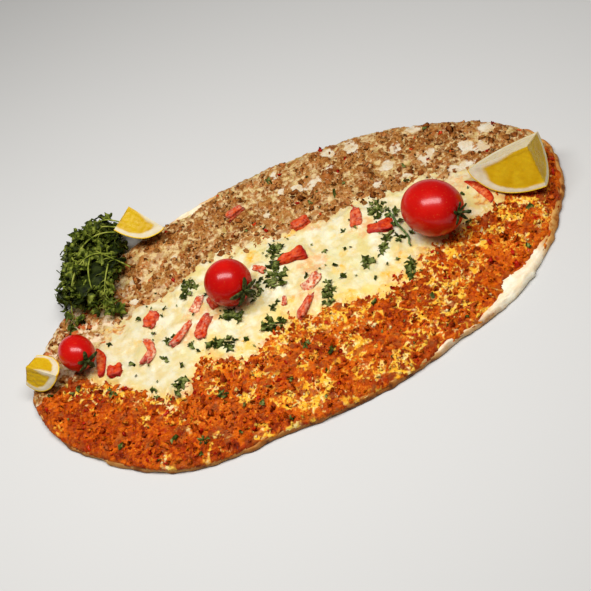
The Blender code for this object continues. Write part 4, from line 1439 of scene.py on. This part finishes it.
# %% Lemon material, and hand the wedges over
def lemon_cut():
    material, tree = finish(
        "cut lemon", subsurface=0.15, glow=(1.0, 0.7, 0.15), coat=0.04, coat_rough=0.25, specular=0.08,
    )
    ragged = times(tree, minus(tree, spots(tree, 300.0, 3.0), 0.5), 1.6 * MM)
    from_rind = plus(tree, stored(tree, "from_rind"), ragged)
    from_ridge = plus(tree, stored(tree, "from_ridge"), ragged)
    sacs = limits(tree, spots(tree, 130.0, 3.0, stretch=(1.0, 1.0, 0.4)), 0.3, 0.7)
    flesh = blend(tree, sacs, (0.58, 0.33, 0.004), (0.66, 0.42, 0.010))
    fluffy = limits(tree, spots(tree, 240.0, 4.0), 0.3, 0.7)
    pith = blend(tree, fluffy, (0.66, 0.56, 0.36), (0.72, 0.64, 0.46))
    rind = blend(tree, limits(tree, spots(tree, 700.0), 0.4, 0.6), (0.76, 0.45, 0.01), (0.85, 0.58, 0.03))
    from_pith = minus(tree, from_rind, stored(tree, "thick_pith"))
    past_pith = limits(tree, from_pith, 2.0 * MM, 3.4 * MM)
    is_flesh = times(tree, past_pith, limits(tree, from_ridge, 1.8 * MM, 4.2 * MM))
    near_tip = plus(tree, stored(tree, "pale_tip"), times(tree, ragged, 120.0))
    is_flesh = times(tree, is_flesh, limits(tree, near_tip, 0.05, 0.45, 1.0, 0.0))
    colour = blend(tree, is_flesh, pith, flesh)
    colour = blend(tree, limits(tree, stored(tree, "from_rind"), 0.4 * MM, 0.9 * MM), rind, colour)
    return dressed(material, colour, sheen=(250.0, 0.25, 0.5), grain=(800.0, 1.0), bump=(0.35, 0.4 * MM))


lemon_finish = lemon_cut()
for place in LEMON_WAYS:
    hand_over(lemon_wedge(place), lemon_finish, "lemon", "lemon_wedge_" + place)


# %% [markdown]
# ## Diced tomato, half sunk in the cheese
# The dice went on before the cheese had set, so they sit in it up to their middle. Each is a rounded block
# with its skin on one side. A few are strips that bent as they softened, and a few wear a film of cheese.

# %% Where a flat piece lies
TOPPINGS = np.maximum.reduce([CHEESE * cheese_keep, BROWN * brown_keep, RED * red_keep])


def surface(x, y):
    """The height of the toppings at a point."""
    row = min(max(int(round((x - grid_x[0]) / CELL)), 0), grid_x.size - 1)
    column = min(max(int(round((y - grid_y[0]) / CELL)), 0), grid_y.size - 1)
    return float(TOPPINGS[row, column])


def turned(x, y, turn, along, across):
    """The point that lies along and across from (x, y), on axes turned by an angle."""
    return (x + along * math.cos(turn) - across * math.sin(turn),
            y + along * math.sin(turn) + across * math.cos(turn))


def lying(node):
    """Middle, turn, length, width, bottom and top of a piece that lies flat, by its tightest box."""
    points = solid_points(node)
    best = None
    for turn in np.radians(np.arange(0, 180, 2)):
        along = points[:, 0] * math.cos(turn) + points[:, 1] * math.sin(turn)
        across = points[:, 1] * math.cos(turn) - points[:, 0] * math.sin(turn)
        length, width = np.ptp(along), np.ptp(across)
        if length >= width and (best is None or length * width < best[0]):
            middle_a, middle_b = (along.max() + along.min()) / 2, (across.max() + across.min()) / 2
            best = (length * width, turned(0.0, 0.0, turn, middle_a, middle_b), turn, length, width)
    return best[1:] + (points[:, 2].min(), points[:, 2].max())


print("first die:", [round(float(value), 4) for value in lying("tomato_piece_01")[1:4]])


# %% One die
DIE_LOOKS = {
    # bend, taper, film of cheese, side that has the skin (turns of a quarter), redness
    "01": (0.00, 0.10, 0.10, 0, 0.7), "02": (0.45, 0.25, 0.35, 2, 0.4), "03": (0.00, 0.15, 0.05, 1, 0.8),
    "04": (0.10, 0.20, 0.30, 2, 0.5), "05": (0.00, 0.30, 0.60, 0, 0.3), "06": (-0.15, 0.10, 0.15, 0, 0.8),
    "07": (0.00, 0.20, 0.10, 1, 0.7), "08": (0.00, 0.30, 0.40, 0, 0.5), "09": (0.00, 0.10, 0.10, 1, 0.6),
    "10": (0.00, 0.15, 0.15, 0, 0.5), "11": (0.00, 0.30, 0.05, 1, 0.8), "12": (0.00, 0.45, 0.05, 2, 0.8),
    "13": (0.10, 0.45, 0.20, 0, 0.7), "14": (0.15, 0.20, 0.60, 0, 0.3), "15": (0.00, 0.30, 0.30, 0, 0.5),
    "16": (0.00, 0.30, 0.15, 0, 0.3),
}


# A power of 2 would make each die a ball, and a higher one gives it squarer corners.
SQUARENESS = 4.5
DIE_SINKS = 1.4 * MM


def die(number):
    (x, y), turn, length, width, low, high = lying("tomato_piece_" + number)
    bend, taper, film, side, red = DIE_LOOKS[number]
    bottom = min(surface(x, y), low) - DIE_SINKS
    bm = bmesh.new()
    bmesh.ops.create_cube(bm, size=2.0)
    bmesh.ops.subdivide_edges(bm, edges=bm.edges[:], cuts=9, use_grid_fill=True)
    points, skins, films = [], [], []
    away = Vector((math.cos(side * math.pi / 2), math.sin(side * math.pi / 2), 0.0))
    for vertex in bm.verts:
        place = vertex.co.copy()
        place /= sum(abs(value) ** SQUARENESS for value in place) ** (1 / SQUARENESS)
        skins.append(min(max((place.dot(away) - 0.62) / 0.2, 0.0), 1.0))
        dents = noise.noise(place * 1.3 + Vector((x, y, 0)) * 900) * 0.34
        place *= 1.0 + dents + 0.16 * noise.noise(place * 3.7 + Vector((y, x, 0)) * 700)
        films.append(min(max(film * 2.0 * (0.5 + noise.noise(place * 1.9 + Vector((x, 0, y)) * 500)), 0), 1))
        along = place.x * length / 2
        across = place.y * width / 2 * (1.0 - taper * (0.5 + 0.5 * place.x)) + bend * width * place.x ** 2
        lower = 1.0 - 0.25 * taper * (place.x > 0) * place.x
        level = bottom + (high - bottom) * (0.5 + 0.5 * place.z) * lower
        points.append((*turned(x, y, turn, along, across), level))
    faces = [tuple(vertex.index for vertex in face.verts) for face in bm.faces]
    bm.free()
    reds = [0.5 + 0.5 * red] * len(points)
    return make_mesh("tomato_die_" + number, points, faces, skin=skins, film=films, red=reds)


def cut_tomato():
    """Wet flesh with pale streaks, tight skin on one side, and cheese over parts of it."""
    material, tree = finish("cut tomato", subsurface=0.12, glow=(1.0, 0.25, 0.12), specular=0.06)
    streaks = limits(tree, spots(tree, 380.0, 3.0), 0.35, 0.68)
    pale = blend(tree, streaks, (0.50, 0.030, 0.003), (0.80, 0.26, 0.075))
    strong = blend(tree, streaks, (0.42, 0.008, 0.001), (0.68, 0.055, 0.005))
    flesh = blend(tree, stored(tree, "red"), pale, strong)
    colour = blend(tree, stored(tree, "skin"), flesh, (0.42, 0.012, 0.008))
    covered = times(tree, stored(tree, "film"), limits(tree, spots(tree, 600.0), 0.35, 0.6))
    colour = blend(tree, covered, colour, (0.86, 0.66, 0.42))
    return dressed(material, colour, sheen=(300.0, 0.12, 0.35), grain=(600.0, 1.2), bump=(0.3, 0.4 * MM))


wet_tomato = cut_tomato()
for number in DIE_LOOKS:
    hand_over(die(number), wet_tomato, "cut_tomato", "tomato_piece_" + number)


# %% [markdown]
# ## Two half-round slices
# A slice of tomato has a rim of skin, a band of flesh and pockets of seeds. Each slice is a fan of rings
# over a half disc: the ring number says how far from the rind a point is, and the material reads it.

# %% Half-round slices
SLICE_TURNS = {"left": -15.0, "right": 10.0}


def half_slice(place):
    node = "tomato_slice_" + place
    low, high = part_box(node)
    turn = math.radians(SLICE_TURNS[place])
    flat = solid_points(node)
    bulge_way = np.array((math.cos(turn), math.sin(turn)))
    side_way = np.array((-math.sin(turn), math.cos(turn)))
    out, side = flat[:, :2] @ bulge_way, flat[:, :2] @ side_way
    radius, bulge = np.ptp(side) / 2, np.ptp(out)
    start = bulge_way * out.min() + side_way * (side.max() + side.min()) / 2
    rows, columns = 12, 30
    points, skins, films, reds = [], [], [], []
    for level in (0, 1):
        for i in range(rows + 1):
            for j in range(columns + 1):
                share, around = i / rows, math.pi * (j / columns - 0.5)
                spread = share * (1.0 + 0.04 * math.sin(5 * around))
                outwards = bulge_way * bulge * spread * math.cos(around)
                x, y = start + outwards + side_way * radius * spread * math.sin(around)
                rounded = 0.5 * MM * share ** 8
                seeds = 0.5 * MM * noise.noise(Vector((x, y, 0.3)) / (2.2 * MM)) * (share < 0.75)
                top = high.z - rounded + seeds - 0.4 * MM
                points.append((x, y, top if level else min(low.z, surface(x, y)) - 0.6 * MM + rounded))
                skins.append(step(share, 0.88, 0.97))
                films.append(0.25 * max(noise.noise(Vector((x, y, 0)) / (3 * MM)), 0.0))
                reds.append(0.35 + 0.5 * step(share, 0.6, 0.85))
    count = (rows + 1) * (columns + 1)
    faces = grid_faces(rows + 1, columns + 1, count)
    faces += [tuple(reversed(face)) for face in grid_faces(rows + 1, columns + 1)]
    rim = [rows * (columns + 1) + j for j in range(columns + 1)]
    straight = [i * (columns + 1) for i in range(rows, 0, -1)] + [0]
    straight += [i * (columns + 1) + columns for i in range(1, rows + 1)]
    for line in (rim, straight):
        faces += [(line[k], line[k + 1], line[k + 1] + count, line[k] + count) for k in range(len(line) - 1)]
    made = make_mesh("half_slice_" + place, points, faces, skin=skins, film=films, red=reds)
    return tidy_normals(made)


for place in SLICE_TURNS:
    hand_over(half_slice(place), wet_tomato, "cut_tomato", "tomato_slice_" + place)


# %% [markdown]
# ## Parsley
# A parsley leaflet has three lobes with a toothed edge, and it is never flat. One function makes such a
# leaflet as a small fan of rings, bends it with noise and tilts it. Chopped parsley on the food is a
# handful of small leaflets for each sprig, wilted by the heat and dark. The bunch uses larger, fresh ones.

# %% One leaflet
def leaf_reach(turn):
    """How far a leaflet reaches at an angle from its tip: three lobes and small teeth."""
    gap = (turn + math.pi) % math.tau - math.pi
    lobes = (math.exp(-(gap / 0.55) ** 2), 0.85 * math.exp(-((gap - 1.25) / 0.52) ** 2),
             0.85 * math.exp(-((gap + 1.25) / 0.52) ** 2))
    return (0.30 + 0.70 * max(lobes)) * (1.0 + 0.13 * math.cos(13 * gap))


def leaflet(middle, size, turn, tilt, lean_way, rings_out, spokes, seed, crumple):
    """Points and faces of an open, bent leaflet."""
    tip = Matrix.Rotation(lean_way, 3, "Z") @ Matrix.Rotation(tilt, 3, "Y")
    tip = tip @ Matrix.Rotation(-lean_way, 3, "Z")
    points = [Vector(middle)]
    for ring in range(1, rings_out + 1):
        share = ring / rings_out
        for spoke in range(spokes):
            angle = math.tau * spoke / spokes
            reach = size * share * (leaf_reach(angle) if ring == rings_out else leaf_reach(angle) ** 0.7)
            flat = Vector((reach * math.cos(angle), reach * math.sin(angle), 0.0))
            flat.rotate(Matrix.Rotation(turn, 3, "Z"))
            bent = noise.noise(flat / (0.6 * size) + Vector((0.0, 0.0, 7.1 * seed)))
            flat.z = size * (crumple * bent - 0.22 * share ** 2)
            points.append(Vector(middle) + tip @ flat)
    faces = [(0, 1 + k, 1 + (k + 1) % spokes) for k in range(spokes)]
    faces += [tuple(1 + k for k in face) for face in ring_faces(rings_out, spokes)]
    return points, faces


print("one leaflet has", len(leaflet((0, 0, 0), 1.0, 0, 0, 0, 3, 26, 1, 0.25)[1]), "faces")


# %% Wilted sprigs on the food
LEAF_THICKNESS = 0.3 * MM
SPRIG_SPREAD = 0.56


def wilted(rng, middle, size, tilts, spokes, seed):
    """A crumpled leaflet, turned and tilted at random."""
    turn, tilt, lean_way = rng.uniform(0, 6), rng.uniform(*tilts), rng.uniform(0, 6)
    return leaflet(middle, size, turn, tilt, lean_way, 3, spokes, seed, 0.5)


def sprig(number):
    node = "parsley_sprig_%02d" % number
    (x, y), turn, length, width = lying(node)[:4]
    rng = np.random.default_rng(900 + number)
    count = int(7 + length * width / (11 * MM * MM))
    parts = []
    for k in range(count):
        spread, angle = math.sqrt((k + 0.5) / count), 2.4 * k + rng.uniform(-0.4, 0.4)
        along = SPRIG_SPREAD * length * spread * math.cos(angle)
        px, py = turned(x, y, turn, along, SPRIG_SPREAD * width * spread * math.sin(angle))
        size = rng.uniform(1.6, 3.9) * MM
        level = surface(px, py) + rng.uniform(0.5, 1.9) * MM
        parts.append(wilted(rng, (px, py, level), size, (0, 0.8), 22, number * 40 + k))
    line = [turned(x, y, turn, s * length * 0.5, 0.0) for s in np.linspace(-0.9, 0.9, 7)]
    stem = tube([(*place, surface(*place) + 0.9 * MM) for place in line], [0.45 * MM] * 7, 6)
    made = make_mesh("chopped_sprig_%02d" % number, *gather(parts))
    thicken(made, LEAF_THICKNESS)
    take_in(made, make_mesh("sprig_stem", *stem))
    return hand_over(made, chopped_green, "parsley_leaf", node)


sprig_numbers = sorted(int(node[-2:]) for node in NODES if node.startswith("parsley_sprig"))
for number in sprig_numbers:
    sprig(number)


# %% Stray leaves between the sprigs
STRAYS = (
    # x, y in mm, and how many leaves
    (-22, 5, 6), (-21, -11, 4), (-28, 2, 4), (-22, 11, 3), (-74, -8, 2), (-83, 4, 5), (-89, -9, 3),
    (-103, -25, 4), (-126, -11, 4), (-143, 3, 3), (-72, -50, 4), (-91, -70, 3), (-45, -3, 2),
    (-54, -68, 2), (38, 15, 1), (22, 9, 1), (-93, 29, 2), (-115, 22, 1), (63, -10, 3), (58, 6, 4),
    (14, -15, 2), (-17, -46, 2),
)
rng = np.random.default_rng(71)
stray_parts = []
for x, y, leaves_here in STRAYS:
    for k in range(leaves_here):
        away, angle = 1.9 * math.sqrt(k) * MM, rng.uniform(0, math.tau)
        px, py = x * MM + away * math.cos(angle), y * MM + away * math.sin(angle)
        level = surface(px, py) + rng.uniform(0.5, 1.4) * MM
        size = rng.uniform(1.5, 3.2) * MM
        stray_parts.append(wilted(rng, (px, py, level), size, (0, 0.6), 18, 800 + len(stray_parts)))
strays = make_mesh("parsley_strays", *gather(stray_parts))
thicken(strays, LEAF_THICKNESS)
hand_over(tidy_normals(strays), chopped_green, "parsley_leaf")
print("stray leaves:", len(stray_parts))


# %% The bare stalk
stalk_solid = solid_points("parsley_stalk")
stations = np.linspace(stalk_solid[:, 1].max(), stalk_solid[:, 1].min(), 12)
stalk_path, stalk_widths = [], []
for k, y in enumerate(stations):
    near = stalk_solid[np.abs(stalk_solid[:, 1] - y).argsort()[:6]].mean(0)
    stalk_path.append((near[0] + 0.4 * MM * math.sin(k), y, near[2] + 0.25 * MM * math.sin(1.7 * k)))
    stalk_widths.append((0.75 - 0.02 * k) * MM)
stalk = make_mesh("bare_stalk", *tube(stalk_path, stalk_widths, 10))
tidy_normals(stalk)
rng = np.random.default_rng(61)
leafy_parts = []
for k in (0, 1, 3, 8):
    x, y, z = stalk_path[k]
    for side in (-1, 1):
        place = (x + side * rng.uniform(1.5, 3.0) * MM, y, z + 0.4 * MM)
        leafy_parts.append(wilted(rng, place, rng.uniform(2.2, 3.6) * MM, (0.2, 0.8), 22, 700 + k))
stalk_leaves = make_mesh("stalk_leaves", *gather(leafy_parts))
thicken(stalk_leaves, LEAF_THICKNESS)
hand_over(tidy_normals(stalk_leaves), chopped_green, "parsley_leaf")
stalk_green = leaf_green("stalk green", (0.04, 0.07, 0.02), (0.09, 0.15, 0.04), (0.20, 0.28, 0.09), 0.35)
hand_over(stalk, stalk_green, "parsley_leaf", "parsley_stalk")


# %% [markdown]
# ## The bunch behind the bread
# A bunch of parsley is a heap of leaves with dark gaps between them and long pale stems. Under the leaves
# is a core, which is the bunch's solid drawn in by a few millimetres and painted almost black as the shade in
# the gaps. A copy of the scattering tree lays leaflets over it in three layers, the lowest in a darker copy
# of the green as painted shade, and the stems are tubes that arch over the heap.

# %% The core of the bunch
def drawn_in(vertex):
    """Where a point of the solid goes on the core, which is thinner beside the bread."""
    by_bread = float(step(inward(vertex.co.x, vertex.co.y), -0.6, 0.8))
    depth = 6.5 + 3.5 * noise.noise(vertex.co / (9 * MM)) + 5.0 * by_bread
    return vertex.co - vertex.normal * MM * depth


core = tidy_normals(linked("parsley_core", NODES["parsley_bunch"].data.copy()))
with editing(core) as bm:
    bmesh.ops.triangulate(bm, faces=bm.faces[:])
    bmesh.ops.subdivide_edges(bm, edges=bm.edges[:], cuts=2)
    bmesh.ops.triangulate(bm, faces=bm.faces[:])
    bm.normal_update()
    for vertex in bm.verts:
        vertex.co = drawn_in(vertex)
        vertex.co.z = max(vertex.co.z, 0.4 * MM)
core.data.shade_smooth()
core_places = np.array([vertex.co for vertex in core.data.vertices])
upright = np.array([vertex.normal.z for vertex in core.data.vertices])
near_bread, heights = inward(core_places[:, 0], core_places[:, 1]), core_places[:, 2]
leafy = step(upright, -0.5, -0.1) * step(heights, 2 * MM, 4 * MM) * ((near_bread < -0.2) | (heights > 7 * MM))
store(core.data, "chance", leafy)
print("core points:", len(core.data.vertices))


# %% Leaflets over the core
def leaf_collection(name, count, spokes):
    """A few leaflets for the tree to pick from, of size 1 and lying flat at the origin."""
    made = bpy.data.collections.new(name)
    bpy.context.scene.collection.children.link(made)
    for number in range(count):
        blade = leaflet((0, 0, 0), 1.0, 0.0, 0.0, 0.0, 2, spokes, number + 3, 0.35)
        leaf = make_mesh(name + str(number), *blade)
        thicken(leaf, 0.05)
        bit_of_stem = tube([(-0.8, 0, -0.5), (-0.4, 0, -0.12), (0, 0, 0)], [0.07, 0.06, 0.05], 4)
        stem = make_mesh("leaf_stem", *bit_of_stem)
        with editing(leaf) as bm:
            bm.from_mesh(stem.data)
        bpy.data.objects.remove(stem)
        bpy.context.scene.collection.objects.unlink(leaf)
        made.objects.link(leaf)
    return made


def from_collection(made):
    def shapes(tree):
        given = {"Collection": made, "Separate Children": True, "Reset Children": True}
        return put(tree, "GeometryNodeCollectionInfo", given).outputs[0]
    return shapes


fresh_green = leaf_green(
    "fresh parsley", (0.010, 0.014, 0.001), (0.060, 0.078, 0.005), (0.26, 0.29, 0.040), 0.35,
)
shaded_green = leaf_green(
    "shaded parsley", (0.005, 0.008, 0.001), (0.030, 0.041, 0.003), (0.12, 0.14, 0.015), 0.4,
)
leaves = leaf_collection("leaflets", 5, 20)
LEAVES = scatter_tree("Scatter leaves", from_collection(leaves), tumble=False)
scatter("parsley_leaves", LEAVES, core, fresh_green, "parsley_bunch",
        Spacing=6.6 * MM, Density=0.2 * DENSE, Smallest=4.6 * MM, Largest=8.5 * MM, Length=1.1,
        Lift=5.6 * MM, Seed=21)
scatter("parsley_leaves_high", LEAVES, core, fresh_green, "parsley_bunch",
        Spacing=12.0 * MM, Density=0.2 * DENSE, Smallest=4.0 * MM, Largest=7.5 * MM, Length=1.2,
        Lift=8.6 * MM, Seed=23)
scatter("parsley_leaves_deep", LEAVES, core, shaded_green, "parsley_bunch",
        Spacing=3.1 * MM, Density=0.35 * DENSE, Smallest=5.0 * MM, Largest=8.5 * MM, Length=1.1,
        Lift=2.8 * MM, Seed=22)
for leaf in list(leaves.objects):
    bpy.data.objects.remove(leaf)
bpy.data.collections.remove(leaves)


# %% Stems of the bunch
BUNCH_STEMS = (
    # points in mm: x, y, height
    ((-66, 92, 12), (-74, 97, 17), (-83, 104, 21), (-93, 108, 20), (-104, 110, 14), (-113, 104, 8)),
    ((-68, 88, 14), (-78, 93, 20), (-89, 98, 24), (-101, 101, 22), (-113, 95, 15), (-121, 86, 8)),
    ((-70, 86, 13), (-80, 89, 21), (-92, 92, 25), (-104, 90, 24), (-115, 83, 17), (-124, 74, 9)),
    ((-90, 72, 24), (-99, 77, 26), (-107, 78, 25), (-115, 75, 21), (-122, 70, 14), (-127, 62, 9)),
    ((-113, 77, 23), (-119, 70, 21), (-124, 62, 17), (-128, 54, 12), (-129, 48, 7)),
    ((-103, 76, 26), (-107, 69, 25), (-110, 60, 21), (-110, 52, 16), (-107, 47, 12), (-102, 46, 10)),
    ((-95, 67, 23), (-100, 60, 21), (-105, 52, 17), (-110, 46, 12)),
    ((-84, 64, 15), (-88, 67, 20), (-93, 72, 24), (-98, 80, 25)),
    ((-113, 90, 22), (-113, 84, 23), (-110, 78, 25)),
)


# Where the heap would be thin, this many leaflets more lie round a place, at heights in mm.
THIN_SPOT = (-103, 66)
THIN_SPOT_SPREAD = 11
THIN_SPOT_HEIGHTS = (14, 20)
THIN_SPOT_LEAVES = 26
STEM_POINTS = 22


def smooth_path(points, count):
    """Evenly spread points on a curve through the given ones."""
    points = np.array(points, float) * MM
    fine = np.linspace(0, len(points) - 1, count)
    before = np.floor(fine).astype(int)
    after = np.minimum(before + 1, len(points) - 1)
    slope = np.gradient(points, np.arange(len(points)), axis=0)
    t = (fine - before)[:, None]
    return ((2 * t ** 3 - 3 * t ** 2 + 1) * points[before] + (t ** 3 - 2 * t ** 2 + t) * slope[before]
            + (3 * t ** 2 - 2 * t ** 3) * points[after] + (t ** 3 - t ** 2) * slope[after])


def fresh(rng, middle, largest, turn, tilts, seed):
    """A large leaflet of a size up to largest, in mm, tilted at random."""
    size = rng.uniform(3.6, largest) * MM
    return leaflet(middle, size, turn, rng.uniform(*tilts), rng.uniform(0.0, 6.0), 3, 24, seed, 0.45)


# %% Grow them
stem_parts, frond_parts = [], []
rng = np.random.default_rng(77)
for path in BUNCH_STEMS:
    line = smooth_path(path, STEM_POINTS)
    stem_parts.append(tube(line, [(0.56 - 0.012 * k) * MM for k in range(STEM_POINTS)], 7))
    for k in range(8, STEM_POINTS, 2):
        ahead = line[min(k + 1, STEM_POINTS - 1)] - line[k - 1]
        for side in (-1, 1):
            if rng.random() < 0.4:
                continue
            away = math.atan2(ahead[1], ahead[0]) + side * rng.uniform(0.5, 1.2)
            reach = rng.uniform(3.0, 6.0) * MM
            rise = rng.uniform(-1.5, 1.5) * MM
            tip = line[k] + np.array((reach * math.cos(away), reach * math.sin(away), rise))
            halfway = (line[k] + tip) / 2 + (0, 0, 0.6 * MM)
            stem_parts.append(tube([line[k], halfway, tip], [0.25 * MM] * 3, 5))
            frond_parts.append(fresh(rng, tip, 6.4, away, (0.0, 0.9), 500 + len(frond_parts)))
for leaf in range(THIN_SPOT_LEAVES):
    away, reach = rng.uniform(0, math.tau), THIN_SPOT_SPREAD * math.sqrt(rng.random())
    east, north = THIN_SPOT[0] + reach * math.cos(away), THIN_SPOT[1] + reach * math.sin(away)
    place = np.array((east, north, rng.uniform(*THIN_SPOT_HEIGHTS))) * MM
    frond_parts.append(fresh(rng, place, 6.0, away, (0.1, 0.8), 700 + leaf))
fronds = make_mesh("parsley_fronds", *gather(frond_parts))
thicken(fronds, 0.25 * MM)
hand_over(tidy_normals(fronds), fresh_green, "parsley_bunch")
bunch_stems = make_mesh("parsley_stems", *gather(stem_parts))
tidy_normals(bunch_stems)
stem_green = leaf_green("stem green", (0.09, 0.12, 0.010), (0.20, 0.23, 0.025), (0.36, 0.38, 0.07), 0.35)
hand_over(bunch_stems, stem_green, "parsley_bunch")
# The core is painted almost black: painted shade in the gaps between the leaves.
gap_shade_green = leaf_green(
    "deep green", (0.004, 0.006, 0.001), (0.012, 0.018, 0.002), (0.030, 0.040, 0.004), 0.6,
)
hand_over(core, gap_shade_green, "parsley_bunch", "parsley_bunch")


# %% [markdown]
# ## Table, light and camera
# The light is one long soft box right above, which gives each tomato its short bright streak and the
# crumbs their small shadows, and a dim white sky fills the rest.

# %% A pale table
bpy.ops.mesh.primitive_plane_add(size=4.0, location=(0.0, 0.0, 0.0))
table = bpy.context.object
table.name = "table"
paper = bpy.data.materials.new("pale paper")
paper.use_nodes = True
paper_shader = paper.node_tree.nodes[SHADER]
paper_shader.inputs["Base Color"].default_value = (0.62, 0.61, 0.59, 1.0)
paper_shader.inputs["Roughness"].default_value = 0.9
table.data.materials.append(paper)


# %% Light
SOFT_BOX = (0.72, 0.20)
SOFT_BOX_PLACE = (-0.075, -0.035, 0.62)
SOFT_BOX_TURN = math.radians(-25)
SOFT_BOX_WATTS = 5.6
SKY_STRENGTH = 0.12

box_light = bpy.data.lights.new("soft box", "AREA")
box_light.shape = "RECTANGLE"
box_light.size, box_light.size_y = SOFT_BOX
box_light.energy = SOFT_BOX_WATTS
soft_box = linked("soft box", box_light)
soft_box.location = SOFT_BOX_PLACE
soft_box.rotation_euler = (0.0, 0.0, SOFT_BOX_TURN)

sky = bpy.data.worlds.new("soft sky")
sky.use_nodes = True
sky.node_tree.nodes["Background"].inputs["Color"].default_value = (1.0, 0.98, 0.95, 1.0)
sky.node_tree.nodes["Background"].inputs["Strength"].default_value = SKY_STRENGTH
bpy.context.scene.world = sky
bpy.context.scene.view_settings.view_transform = "Standard"


# %% Camera
RISE = math.radians(50)
SWING = math.radians(-7.77)
ROLL = math.radians(-22)
DISTANCE = 0.6748
LOOK_AT = Vector((-0.0059, -0.0048, 0.0))

back = Vector((math.sin(SWING) * math.cos(RISE), -math.cos(SWING) * math.cos(RISE), math.sin(RISE)))
level_side = Vector((0, 0, 1)).cross(back).normalized()
level_up = back.cross(level_side)
right = level_side * math.cos(ROLL) + level_up * math.sin(ROLL)
up = level_up * math.cos(ROLL) - level_side * math.sin(ROLL)
lens = bpy.data.cameras.new("camera")
lens.lens, lens.sensor_width, lens.sensor_fit = 70.0, 36.0, "HORIZONTAL"
lens.clip_start = 0.01
camera = linked("camera", lens)
aim = Matrix((right, up, back)).transposed().to_4x4()
camera.matrix_world = Matrix.Translation(LOOK_AT + back * DISTANCE) @ aim
bpy.context.scene.camera = camera


# %% Finish
bpy.context.view_layer.update()
